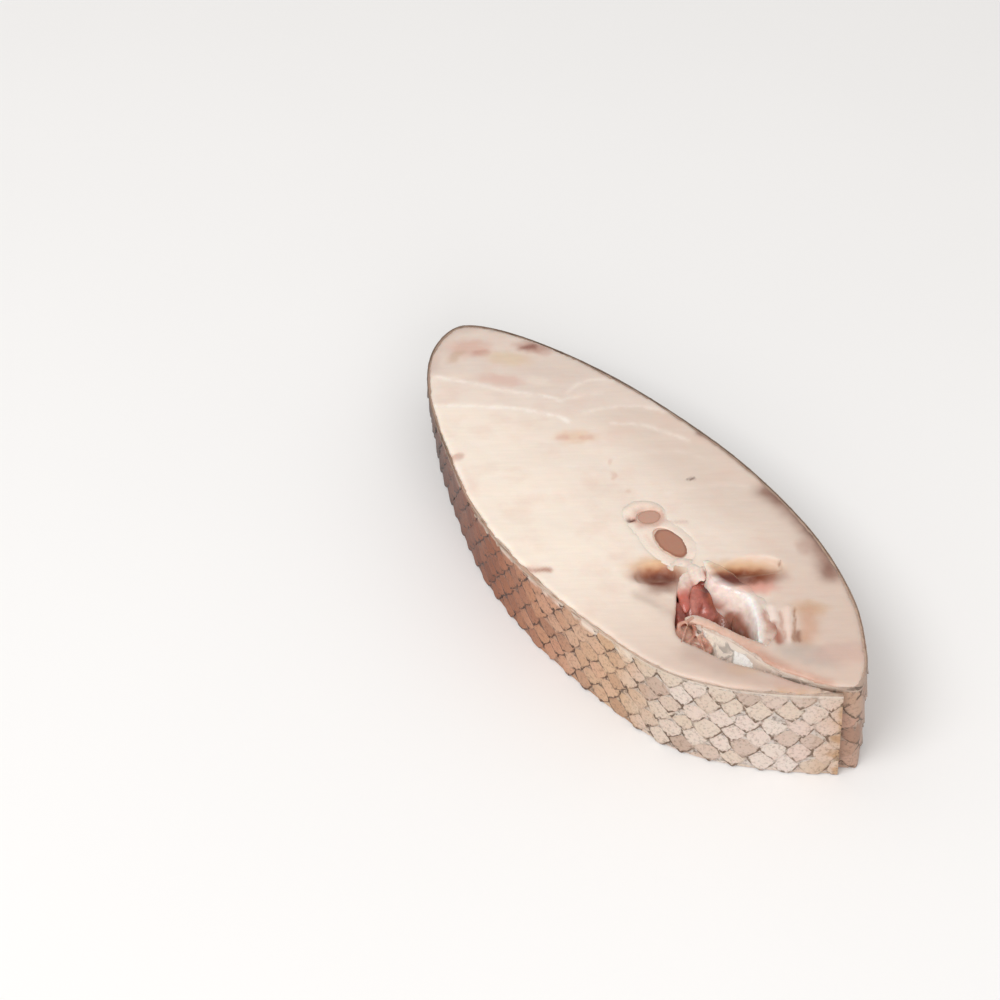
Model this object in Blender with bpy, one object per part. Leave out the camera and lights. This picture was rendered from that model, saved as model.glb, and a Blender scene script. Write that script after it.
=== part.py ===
"""A raw fish steak: a thick slice cut across the body of a large croaker, gutted, with its skin on.

The slice lies on its tail-side cut face. +Z is up, towards the head-side cut face. +Y points to the
fish's back and -Y to its belly, so X runs from flank to flank. Lengths are in metres, and the outlines
below are in millimetres. Every piece is drawn as an upright slice of even thickness, and knife_cut then
gives it the wedge and the lean of a slice cut by hand.
"""

import math

import bmesh
import bpy
from mathutils import Matrix, Vector

MM = 0.001

# Driving sizes, in millimetres
THICKNESS = 30.4          # at mid height of the fish
WEDGE = 8.8               # how much thicker the slice is at the belly than at the back
DEPTH = 187.0             # from back to belly, at the outside of the scales
LEAN = 3.2                # how far the lower face stands out towards +X
SKIN = 0.9                # hide below the scales
SCALE_RISE = 0.7          # free edge of a scale above the hide
SCALE_FRONT = 0.15        # rooted edge of a scale above the hide
SCALE_WIDTH = 7.0         # one scale along the body's outline
SCALE_ROWS = 3            # whole scales across the slice
SCALE_GROOVE = 0.32       # gap left round a scale's plate
FLESH_POINTS = 150        # on the flesh's outline, just inside the skin
GAP = 0.3                 # between pieces that touch
FACE_STEP = 0.4           # the skin's rims stay this far inside the cut faces
SEPTUM = 0.34             # half width of the groove where two muscle flakes meet
SPAN = 3                  # points on the curve from one point of an outline to the next

# The outside of the scales, seen from above. It starts at the free edge of the left belly flap, goes up
# the left flank, over the back, down the right flank and round the belly, and ends inside the cavity on
# the tucked right flap.
SKIN_PATH = (
    (-0.8, -92.5), (-13.0, -82.3), (-24.0, -70.6), (-32.0, -57.0), (-35.9, -38.0),
    (-38.0, -18.0), (-38.2, -3.0), (-35.6, 20.0), (-28.5, 43.0), (-17.3, 70.0),
    (-5.0, 86.6), (8.5, 93.0), (17.4, 86.8), (26.0, 69.5), (33.2, 44.5),
    (37.3, 16.0), (38.4, -12.0), (34.8, -43.0), (26.4, -68.0), (15.6, -84.6),
    (9.0, -91.0), (4.8, -93.4), (1.6, -91.6), (-1.5, -88.0), (-3.8, -84.5), (-6.2, -80.0),
    (-8.6, -75.0), (-9.8, -69.0), (-10.6, -63.4), (-12.0, -57.5), (-15.0, -49.8),
)

# The inner edge of the flesh: round the tip of the tucked flap, along its inner side, up the right wall
# of the cavity, under the backbone, down the left wall, and along the left flap to its free edge.
CAVITY_EDGE = (
    (-14.8, -46.8), (-12.5, -46.6), (-10.2, -50.0), (-8.6, -55.4), (-6.6, -61.4),
    (-3.6, -65.7), (0.2, -63.8), (3.6, -58.6), (5.4, -51.5), (4.9, -44.5),
    (4.3, -37.6), (1.4, -34.2), (-4.4, -33.8), (-9.4, -36.2), (-13.4, -40.6),
    (-17.6, -45.0), (-20.6, -50.2), (-18.8, -57.0), (-16.6, -63.6), (-12.8, -70.2),
    (-9.6, -75.6), (-7.1, -80.5), (-4.4, -84.8),
)

# The vertebra is one bone: the centrum, and the neural arch above it.
VERTEBRA = (
    (1.4, -3.2), (5.2, -4.8), (7.2, -9.0), (6.2, -13.4), (5.8, -16.2), (6.2, -20.6), (5.7, -25.6),
    (3.6, -29.6), (0.0, -31.2), (-3.7, -29.6), (-5.8, -25.4), (-6.1, -19.8), (-4.9, -14.8),
    (-4.2, -10.2), (-2.6, -5.6),
)
CENTRUM_CORE = {"centre": (0.3, -22.0), "radii": (3.3, 6.8), "turn": -6.0}
NERVE_CANAL = {"centre": (2.2, -10.3), "radii": (3.4, 2.7), "turn": -24.0}
MARROW_SUNK = 0.6         # below the cut faces
CORD_SUNK = 0.4

# The kidney hangs under the backbone, and a shiny lining covers the cavity's right wall. KIDNEY_RUN and
# LINING_RUN are the first and last point of the cavity's edge that each lies against.
KIDNEY_RUN = (34, 43)
KIDNEY_FREE = (
    (-12.6, -44.4), (-10.4, -45.6), (-8.6, -48.2), (-6.2, -50.2), (-3.6, -48.6), (-1.8, -45.2),
    (-0.6, -41.6), (0.6, -38.2),
)
KIDNEY_SUNK = 2.2         # below the cut faces
LINING_RUN = (18, 32)
LINING_THICK = 1.0
LINING_SUNK = 0.8

# Where the ribs tore out of the muscle, a leaf-shaped pocket is left on each side of the backbone. Its
# floor falls away from the belly. Each is given by its middle, half length, half width and turn.
RIB_POCKETS = (
    {"centre": (-11.6, -30.6), "half": (5.6, 3.5), "turn": -32.0},
    {"centre": (11.2, -44.6), "half": (8.0, 3.3), "turn": -28.0},
)
POCKET_DEPTH = 4.2
POCKET_TILT = 42.0

# Where the muscle flakes meet, seen from above: each line goes from the left flank to the right one and
# dips towards the belly on the midline.
SEPTA = (
    ((-9.4, 75.7), (-2.3, 66.1), (4.3, 56.4), (11.0, 47.4), (16.5, 45.6), (22.4, 45.0), (28.0, 43.0)),
    ((-17.3, 64.9), (-8.3, 57.7), (-0.2, 50.2), (4.9, 42.3), (9.2, 37.3), (15.7, 35.7), (22.9, 33.0),
     (29.9, 27.7), (33.6, 22.0)),
    ((-22.6, 46.4), (-12.0, 40.4), (-2.4, 33.4), (6.6, 26.8), (12.0, 27.8), (18.0, 26.7), (24.6, 21.1),
     (28.7, 14.6), (31.3, 7.7)),
    ((-28.6, 31.0), (-21.1, 28.9), (-8.9, 23.9), (-1.0, 18.6), (4.2, 14.0), (10.5, 14.4), (17.2, 11.9),
     (25.5, 6.2), (29.7, -0.6)),
    ((-32.0, 8.6), (-24.0, 6.4), (-14.6, 0.6), (-8.4, -5.0)),
    ((12.0, -6.0), (20.3, -9.0), (29.8, -15.1), (33.3, -20.4)),
)


def clear_scene():
    for obj in list(bpy.data.objects):
        bpy.data.objects.remove(obj)


def collection(name):
    made = bpy.data.collections.new(name)
    bpy.context.scene.collection.children.link(made)
    return made


def material(name, colour, roughness):
    made = bpy.data.materials.new(name)
    made.use_nodes = True
    shader = made.node_tree.nodes["Principled BSDF"]
    shader.inputs["Base Color"].default_value = (*colour, 1.0)
    shader.inputs["Roughness"].default_value = roughness
    shader.inputs["Metallic"].default_value = 0.0
    return made


def spline_through(points, per_span, closed):
    """Points on a Catmull-Rom curve through the given ones, per_span of them for each span."""
    count = len(points)
    spans = count if closed else count - 1
    made = []
    for span in range(spans):
        if closed:
            a, b, c, d = (Vector(points[(span + k) % count]) for k in (-1, 0, 1, 2))
        else:
            a, b, c, d = (Vector(points[min(max(span + k, 0), count - 1)]) for k in (-1, 0, 1, 2))
        for step in range(per_span):
            t = step / per_span
            made.append(
                0.5 * (2 * b + (c - a) * t + (2 * a - 5 * b + 4 * c - d) * t * t
                       + (3 * b - a - 3 * c + d) * t * t * t)
            )
    if not closed:
        made.append(Vector(points[-1]))
    return made


def evenly_spaced(points, count):
    """count + 1 points along an open line, at equal distances, and the outward normal at each."""
    lengths = [0.0]
    for a, b in zip(points, points[1:]):
        lengths.append(lengths[-1] + (b - a).length)
    places, normals = [], []
    span = 0
    for k in range(count + 1):
        along = lengths[-1] * k / count
        while span < len(points) - 2 and lengths[span + 1] < along:
            span += 1
        a, b = points[span], points[span + 1]
        places.append(a.lerp(b, (along - lengths[span]) / (lengths[span + 1] - lengths[span])))
    for k in range(count + 1):
        run = (places[min(k + 1, count)] - places[max(k - 1, 0)]).normalized()
        normals.append(Vector((-run.y, run.x)))
    return places, normals, lengths[-1]


def oval(centre, radii, turn, smaller_by=0.0, count=24):
    """A closed oval outline, turned by degrees."""
    spin = Matrix.Rotation(math.radians(turn), 2)
    wide, tall = (radius - smaller_by for radius in radii)
    made = []
    for k in range(count):
        angle = 2 * math.pi * k / count
        made.append(Vector(centre) + spin @ Vector((wide * math.cos(angle), tall * math.sin(angle))))
    return made


def leaf(half_length, half_width, count=14):
    """A closed leaf outline, pointed at both ends, its length along X."""
    made = []
    for side in (1, -1):
        for k in range(count):
            x = -half_length * math.cos(math.pi * k / count)
            made.append(Vector((side * x, side * half_width * math.sin(math.pi * k / count) ** 0.8)))
    return made


def slab(name, outlines, low, high, into):
    """A solid of one or more closed outlines, the later ones being holes, from height low to high."""
    data = bpy.data.curves.new(name, "CURVE")
    data.dimensions = "2D"
    data.fill_mode = "BOTH"
    data.extrude = 0.5 * (high - low) * MM
    for outline in outlines:
        line = data.splines.new("POLY")
        line.points.add(len(outline) - 1)
        for point, place in zip(line.points, outline):
            point.co = (place.x * MM, place.y * MM, 0.0, 1.0)
        line.use_cyclic_u = True
    curve = bpy.data.objects.new(name + "_line", data)
    curve.location.z = 0.5 * (low + high) * MM
    return as_mesh(curve, name, into)


def as_mesh(curve, name, into):
    """The curve's solid as a mesh object, with its caps welded on and its place in the mesh."""
    bpy.context.scene.collection.objects.link(curve)
    bpy.context.view_layer.update()
    evaluated = curve.evaluated_get(bpy.context.evaluated_depsgraph_get())
    mesh = bpy.data.meshes.new_from_object(evaluated)
    mesh.transform(curve.matrix_world)
    bpy.data.objects.remove(curve)
    weld(mesh)
    mesh.name = name
    made = bpy.data.objects.new(name, mesh)
    into.objects.link(made)
    return made


def weld(mesh):
    work = bmesh.new()
    work.from_mesh(mesh)
    bmesh.ops.remove_doubles(work, verts=work.verts, dist=1e-5)
    bmesh.ops.recalc_face_normals(work, faces=work.faces)
    work.to_mesh(mesh)
    work.free()


def groove(name, points, height, into):
    """A thin square rod along points, half sunk in a cut face. It cuts the groove of one septum."""
    data = bpy.data.curves.new(name, "CURVE")
    data.dimensions = "3D"
    data.bevel_depth = SEPTUM * MM
    data.bevel_resolution = 0
    data.use_fill_caps = True
    line = data.splines.new("POLY")
    line.points.add(len(points) - 1)
    for point, place in zip(line.points, points):
        point.co = (place.x * MM, place.y * MM, height * MM, 1.0)
    return as_mesh(bpy.data.objects.new(name + "_line", data), name, into)


def rib_pocket(name, centre, half, turn, upper, into):
    """The cutter of one rib pocket, in the upper or the lower cut face."""
    made = slab(name, [leaf(*half)], 0.0, 3.0 * POCKET_DEPTH, into)
    deep_end = half[1] * math.sin(math.radians(POCKET_TILT)) - POCKET_DEPTH
    tilt = Matrix.Rotation(math.radians(-POCKET_TILT), 4, "X")
    lift = Matrix.Translation((0.0, 0.0, deep_end * MM))
    flip = Matrix.Diagonal((1.0, 1.0, 1.0 if upper else -1.0, 1.0))
    face = (THICKNESS if upper else 0.0) * MM
    place = Matrix.Translation((centre[0] * MM, centre[1] * MM, face))
    spin = Matrix.Rotation(math.radians(turn), 4, "Z")
    made.data.transform(place @ spin @ flip @ lift @ tilt)
    weld(made.data)
    return made


def cut(solid, cutters):
    """Takes every cutter out of the solid, for good, and removes the cutters."""
    step = solid.modifiers.new("cut", "BOOLEAN")
    step.operation = "DIFFERENCE"
    step.operand_type = "COLLECTION"
    step.collection = cutters
    step.solver = "EXACT"
    bpy.context.view_layer.update()
    graph = bpy.context.evaluated_depsgraph_get()
    mesh = bpy.data.meshes.new_from_object(solid.evaluated_get(graph))
    solid.modifiers.clear()
    solid.data = mesh
    for cutter in list(cutters.objects):
        bpy.data.objects.remove(cutter)


def skin_line():
    return spline_through(SKIN_PATH, 8, closed=False)


def flesh_outline():
    """The flesh just inside the skin, closed along the cavity's edge."""
    places, normals, _ = evenly_spaced(skin_line(), FLESH_POINTS)
    inset = SCALE_RISE + SKIN + GAP
    outer = [place - normal * inset for place, normal in zip(places, normals)]
    ends = [outer[-1], *CAVITY_EDGE, outer[0]]
    return outer + spline_through(ends, SPAN, closed=False)[1:-1]


def offset(line, by, closed):
    """The line moved to its left by a distance: outwards, for an outline drawn clockwise."""
    last = len(line) - 1
    made = []
    for k, point in enumerate(line):
        if closed:
            run = line[(k + 1) % len(line)] - line[k - 1]
        else:
            run = line[min(k + 1, last)] - line[max(k - 1, 0)]
        run.normalize()
        made.append(point + Vector((-run.y, run.x)) * by)
    return made


def cavity_side(run, by):
    """A stretch of the cavity's edge, moved into the cavity."""
    edge = spline_through(CAVITY_EDGE, SPAN, closed=False)
    return offset(edge[run[0]:run[1] + 1], by, closed=False)


def scale_sheet(length):
    """The scaly hide laid out flat: X along the outline, Y up through the slice, Z outwards.

    Each scale is a diamond plate, rooted towards the head and standing off the hide at its rear corner.
    """
    columns = round(length / SCALE_WIDTH)
    width, height = length / columns, THICKNESS / SCALE_ROWS
    work = bmesh.new()
    corners = {}
    for i in range(-1, 2 * columns + 2):
        for j in range(-1, 2 * SCALE_ROWS + 2):
            if (i + j) % 2 == 0:
                corners[i, j] = work.verts.new((i * width / 2, j * height / 2, 0.0))
    for i in range(0, 2 * columns + 1):
        for j in range(0, 2 * SCALE_ROWS + 1):
            if (i + j) % 2:
                work.faces.new([corners[i, j - 1], corners[i + 1, j], corners[i, j + 1], corners[i - 1, j]])
    work.normal_update()
    plates = list(work.faces)
    bmesh.ops.inset_individual(work, faces=plates, thickness=SCALE_GROOVE, depth=0.0, use_even_offset=True)
    for plate in plates:
        middle = plate.calc_center_median()
        for corner in plate.verts:
            rearward = 0.5 - (corner.co.y - middle.y) / height
            corner.co.z = SCALE_FRONT + (SCALE_RISE - SCALE_FRONT) * min(max(rearward, 0.0), 1.0)
    for plate in plates:
        ends = sorted(plate.verts, key=lambda corner: corner.co.y)
        bmesh.ops.connect_verts(work, verts=[ends[0], ends[-1]])
    edges_of_slice = (
        ((0.0, 0.0, 0.0), (0.0, -1.0, 0.0)),
        ((0.0, THICKNESS, 0.0), (0.0, 1.0, 0.0)),
        ((0.0, 0.0, 0.0), (-1.0, 0.0, 0.0)),
        ((length, 0.0, 0.0), (1.0, 0.0, 0.0)),
    )
    for place, outward in edges_of_slice:
        everything = work.verts[:] + work.edges[:] + work.faces[:]
        bmesh.ops.bisect_plane(work, geom=everything, plane_co=place, plane_no=outward,
                               dist=1e-4, clear_outer=True)
    close_hide(work, columns * 2, length)
    return work


def close_hide(work, half_columns, length):
    """Adds the inner side of the hide, a strip for each half column of scales, and its four rims."""
    near = 1e-3
    step = length / half_columns
    top = list(work.verts)
    inner = {
        (k, row): work.verts.new((k * step, row * THICKNESS, -SKIN))
        for k in range(half_columns + 1) for row in (0, 1)
    }
    for k in range(half_columns):
        work.faces.new([inner[k, 0], inner[k, 1], inner[k + 1, 1], inner[k + 1, 0]])
        for row in (0, 1):
            rim = [v for v in top if abs(v.co.y - row * THICKNESS) < near
                   and k * step - near < v.co.x < (k + 1) * step + near]
            rim.sort(key=lambda v: v.co.x)
            work.faces.new([inner[k, row], *rim, inner[k + 1, row]])
    for k in (0, half_columns):
        rim = [v for v in top if abs(v.co.x - k * step) < near]
        rim.sort(key=lambda v: v.co.y)
        work.faces.new([inner[k, 0], *rim, inner[k, 1]])
    bmesh.ops.recalc_face_normals(work, faces=work.faces)


def make_skin(into):
    """Wraps the flat sheet of scales round the slice."""
    fine = 600
    places, normals, length = evenly_spaced(skin_line(), fine)
    work = scale_sheet(length)
    upright = 1.0 - 2.0 * FACE_STEP / THICKNESS
    for vert in work.verts:
        along = min(max(vert.co.x / length * fine, 0.0), fine - 1e-6)
        k = int(along)
        place = places[k].lerp(places[k + 1], along - k)
        normal = normals[k].lerp(normals[k + 1], along - k)
        spot = place + normal * (vert.co.z - SCALE_RISE)
        vert.co = Vector((spot.x, spot.y, FACE_STEP + vert.co.y * upright)) * MM
    bmesh.ops.recalc_face_normals(work, faces=work.faces)
    mesh = bpy.data.meshes.new("skin")
    work.to_mesh(mesh)
    work.free()
    made = bpy.data.objects.new("skin", mesh)
    into.objects.link(made)
    return made


def make_flesh(into, cutters):
    """One thick slice of muscle, with the bone's place, the rib pockets and the septa cut out."""
    made = slab("flesh", [flesh_outline()], 0.0, THICKNESS, into)
    bone_place = offset(spline_through(VERTEBRA, SPAN, closed=True), GAP, closed=True)
    slab("bone_place", [bone_place], -1.0, THICKNESS + 1.0, cutters)
    for k, pocket in enumerate(RIB_POCKETS):
        rib_pocket(f"pocket_upper_{k}", **pocket, upper=True, into=cutters)
        rib_pocket(f"pocket_lower_{k}", **pocket, upper=False, into=cutters)
    for k, line in enumerate(SEPTA):
        for face, height in (("upper", THICKNESS), ("lower", 0.0)):
            groove(f"septum_{face}_{k}", spline_through(line, 2, closed=False), height, cutters)
    cut(made, cutters)
    return made


def thickness_at(y):
    return THICKNESS - WEDGE * y / (DEPTH * MM)


def knife_cut(obj):
    """Gives a piece the slice's wedge and lean, and keeps its lower face flat on the board."""
    for vert in obj.data.vertices:
        share = vert.co.z / (THICKNESS * MM)
        vert.co.z = share * thickness_at(vert.co.y) * MM
        vert.co.x += LEAN * (0.5 - share) * MM
    weld(obj.data)


def centre_on_origin(pieces):
    """Moves all pieces alike, so that the slice's box stands over the origin."""
    corners = [vert.co for piece in pieces for vert in piece.data.vertices]
    shift = Vector((
        -0.5 * (min(c.x for c in corners) + max(c.x for c in corners)),
        -0.5 * (min(c.y for c in corners) + max(c.y for c in corners)),
        -min(c.z for c in corners),
    ))
    for piece in pieces:
        piece.data.transform(Matrix.Translation(shift))


def main():
    clear_scene()
    steak = collection("fish_steak")
    cutters = collection("cutters")
    bone = spline_through(VERTEBRA, SPAN, closed=True)
    kidney = cavity_side(KIDNEY_RUN, GAP)
    kidney += spline_through((kidney[-1], *KIDNEY_FREE, kidney[0]), SPAN, closed=False)[1:-1]
    lining = cavity_side(LINING_RUN, GAP) + cavity_side(LINING_RUN, GAP + LINING_THICK)[::-1]
    upright_pieces = {
        "vertebra": ([bone, oval(**CENTRUM_CORE), oval(**NERVE_CANAL)], 0.0),
        "marrow": ([oval(**CENTRUM_CORE, smaller_by=GAP)], MARROW_SUNK),
        "spinal_cord": ([oval(**NERVE_CANAL, smaller_by=GAP)], CORD_SUNK),
        "kidney": ([kidney], KIDNEY_SUNK),
        "cavity_lining": ([lining], LINING_SUNK),
    }
    pieces = {"flesh": make_flesh(steak, cutters), "skin": make_skin(steak)}
    for name, (outlines, sunk) in upright_pieces.items():
        pieces[name] = slab(name, outlines, sunk, THICKNESS - sunk, steak)
    looks = {
        "flesh": ((0.84, 0.71, 0.61), 0.35),
        "skin": ((0.47, 0.37, 0.31), 0.4),
        "vertebra": ((0.82, 0.66, 0.53), 0.35),
        "marrow": ((0.41, 0.22, 0.15), 0.25),
        "spinal_cord": ((0.52, 0.33, 0.26), 0.3),
        "kidney": ((0.34, 0.06, 0.04), 0.2),
        "cavity_lining": ((0.72, 0.60, 0.55), 0.2),
    }
    for name, piece in pieces.items():
        piece.data.materials.clear()
        piece.data.materials.append(material(name, *looks[name]))
        knife_cut(piece)
    centre_on_origin(pieces.values())


main()
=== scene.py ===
"""A raw fish steak: a thick crosswise slice of a large croaker with its skin on, lying on its lower cut face.

+Z is up, towards the head-side cut face. +Y points to the fish's back and -Y to its belly. Sizes are in
millimetres. A place on the slice is given as if the slice stood upright with straight sides: x and y on
the cut face, and s, from 0 at the foot to 1 at the top.
"""

import math

import bmesh
import bpy
import numpy as np
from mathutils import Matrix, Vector, kdtree, noise


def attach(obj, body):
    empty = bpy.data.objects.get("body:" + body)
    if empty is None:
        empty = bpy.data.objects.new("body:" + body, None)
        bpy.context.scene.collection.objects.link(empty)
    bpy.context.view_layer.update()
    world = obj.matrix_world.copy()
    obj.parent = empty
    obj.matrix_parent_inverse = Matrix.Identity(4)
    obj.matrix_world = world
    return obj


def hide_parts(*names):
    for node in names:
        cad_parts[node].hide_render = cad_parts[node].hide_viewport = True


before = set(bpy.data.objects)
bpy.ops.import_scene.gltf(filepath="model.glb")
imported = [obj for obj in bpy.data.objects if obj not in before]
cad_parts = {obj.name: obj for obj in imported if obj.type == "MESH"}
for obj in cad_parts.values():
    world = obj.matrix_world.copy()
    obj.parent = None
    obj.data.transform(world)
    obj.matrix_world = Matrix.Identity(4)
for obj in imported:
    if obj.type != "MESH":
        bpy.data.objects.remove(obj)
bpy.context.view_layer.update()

# The camera looks down on the slice from its belly side, as someone standing at a counter does. The
# counter is a plain pale board. The light comes from all round and from two large soft lamps, one at the
# left and a weaker one in front.
MM = 0.001
AIM = Vector((-20.2, 31.4, 15.9))
AZIMUTH = math.radians(-36.0)
ELEVATION = math.radians(45.0)
DISTANCE = 600.0
FOCAL_LENGTH = 74.5
BOARD_SIZE = 6000.0
LIGHT_ALL_ROUND = 0.56
# The lamps' places and sizes are in metres.
LAMPS = (
    {"name": "soft_lamp", "place": (-1.10, -0.10, 1.50), "size": 0.90, "power": 14.6},
    {"name": "front_fill", "place": (-0.70, -1.50, 0.80), "size": 1.20, "power": 11.5},
)


def new_object(name, data):
    """A new object in the scene, with its mesh, camera or light."""
    made = bpy.data.objects.new(name, data)
    bpy.context.scene.collection.objects.link(made)
    return made


back = Vector((
    math.sin(AZIMUTH) * math.cos(ELEVATION), -math.cos(AZIMUTH) * math.cos(ELEVATION), math.sin(ELEVATION),
))
lens = bpy.data.cameras.new("counter_view")
lens.lens = FOCAL_LENGTH
lens.clip_start = 0.01
camera = new_object("counter_view", lens)
camera.location = (AIM + back * DISTANCE) * MM
camera.rotation_euler = back.to_track_quat("Z", "Y").to_euler()
bpy.context.scene.camera = camera
bpy.context.scene.view_settings.view_transform = "Standard"


def linear(colour):
    """An sRGB hex colour as linear red, green, blue and alpha."""
    parts = [int(colour[k:k + 2], 16) / 255.0 for k in (1, 3, 5)]
    return (*(p / 12.92 if p <= 0.04045 else ((p + 0.055) / 1.055) ** 2.4 for p in parts), 1.0)


def add(tree, kind, sockets=None, **settings):
    """Adds a node with its settings. Each of its sockets takes a value, or another node's output."""
    made = tree.nodes.new(kind)
    for name, value in settings.items():
        setattr(made, name, value)
    for socket, given in (sockets or {}).items():
        if isinstance(given, bpy.types.NodeSocket):
            tree.links.new(given, made.inputs[socket])
        else:
            made.inputs[socket].default_value = given
    return made


def finish(name, **surface):
    """A new material with its Principled shader, the shader's own values set, and its node tree."""
    made = bpy.data.materials.new(name)
    made.use_nodes = True
    shader = made.node_tree.nodes["Principled BSDF"]
    for socket, value in surface.items():
        shader.inputs[socket.replace("_", " ")].default_value = value
    return made, made.node_tree, shader


def colour_ramp(tree, source, stops):
    """A colour ramp fed by a socket, with its stops as position and hex colour."""
    ramp = add(tree, "ShaderNodeValToRGB", {"Fac": source})
    kept = ramp.color_ramp.elements
    kept[0].position, kept[0].color = stops[0][0], linear(stops[0][1])
    kept[1].position, kept[1].color = stops[-1][0], linear(stops[-1][1])
    for position, colour in stops[1:-1]:
        kept.new(position).color = linear(colour)
    return ramp.outputs["Color"]


# Pale painted board: nearly white and matt, with a faint unevenness of the paint.
board_paint, tree, shader = finish("matt_white_paint", Roughness=0.7)
coords = add(tree, "ShaderNodeTexCoord")
mottle = add(tree, "ShaderNodeTexNoise", {"Scale": 6.0, "Detail": 3.0, "Vector": coords.outputs["Object"]})
paint = colour_ramp(tree, mottle.outputs["Fac"], ((0.0, "#f6f5f4"), (1.0, "#faf9f8")))
tree.links.new(paint, shader.inputs["Base Color"])
bpy.ops.mesh.primitive_plane_add(size=BOARD_SIZE * MM)
board = bpy.context.object
board.name = "pale_board"
board.data.materials.append(board_paint)

world = bpy.data.worlds.new("light_tent")
world.use_nodes = True
world.node_tree.nodes["Background"].inputs["Color"].default_value = linear("#fffdfb")
world.node_tree.nodes["Background"].inputs["Strength"].default_value = LIGHT_ALL_ROUND
bpy.context.scene.world = world
for lamp in LAMPS:
    light = bpy.data.lights.new(lamp["name"], "AREA")
    light.size = lamp["size"]
    light.energy = lamp["power"]
    hung = new_object(lamp["name"], light)
    hung.location = lamp["place"]
    hung.rotation_euler = Vector(lamp["place"]).to_track_quat("Z", "Y").to_euler()


# The flesh is one thick slice of wet white muscle. The knife left its faces flat and slightly rippled,
# with the pale sheets between the muscle flakes showing as thin lines and with blood spots near the rim.
LEAN = 3.2                # how far the foot of the slice stands out towards +X
FLESH_GRAIN = 0.66        # size of the mesh's faces
FACE_SNAP = 0.62          # what is nearer than this to a cut face is laid on it
RIM_ROUND = 1.3           # radius of the flesh's soft edge
SWELL_OUT = 0.9           # how far the soft flesh swells out over its own wall at a cut face
# From left to right the muscle is painted brighter at the left and duller at the right, as painted light.
MUSCLE = {"left": "#f9e9da", "middle": "#f0e0d2", "right": "#e0cdbf"}
TOWARDS_BELLY = "#d8c0b1"  # the muscle of the belly flaps
# Far down the cavity's walls the flesh is painted darker: partly its own pinkish brown, partly painted shade.
DEEP_FLESH = "#c99c8c"    # the flesh far down the cavity's walls

# The sheets between the muscle flakes, each with how clearly it shows.
SEPTA = (
    (0.7, ((-9.4, 75.7), (-2.3, 66.1), (4.3, 56.4), (10.8, 48.7), (13.2, 44.5))),
    (1.0, ((-17.3, 64.9), (-8.3, 57.7), (-0.2, 50.2), (5.9, 42.1), (8.5, 38.3), (8.8, 35.8))),
    (0.45, ((15.7, 35.7), (22.9, 33.0), (29.9, 27.7), (33.6, 22.0))),
    (0.4, ((16.8, 45.9), (20.9, 47.3), (26.7, 46.4), (31.6, 42.0))),
    (0.12, ((-22.6, 46.4), (-12.0, 40.4), (-2.4, 33.4), (6.6, 26.8), (12.0, 27.8), (18.0, 26.7))),
    (0.45, ((18.2, 26.9), (24.8, 21.2), (28.5, 14.4), (31.3, 7.8))),
    (0.3, ((13.5, 44.9), (24.8, 40.2))),
    (0.25, ((-28.6, 31.0), (-21.1, 28.9), (-8.9, 23.9), (-1.0, 18.6))),
    (0.15, ((4.2, 14.0), (10.5, 14.4), (17.2, 11.9), (25.5, 6.2), (29.7, -0.6))),
    (0.15, ((-32.0, 24.5), (-20.0, 19.4), (-10.1, 13.8))),
    (0.15, ((-32.0, 8.6), (-24.0, 6.4), (-14.6, 0.6), (-8.4, -5.0))),
    (0.15, ((12.0, -6.0), (20.3, -9.0), (29.8, -15.1), (33.3, -20.4))),
)
# Towards the back the muscle is greyer past each of these lines.
GREYER = (
    (((-17.3, 64.9), (-0.2, 50.2), (8.5, 38.3), (22.9, 33.0), (33.6, 22.0)), "#e8d7cb"),
    (((-9.4, 75.7), (4.3, 56.4), (13.2, 44.5), (22.4, 45.0), (31.6, 42.0)), "#dfcdc1"),
)
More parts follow.
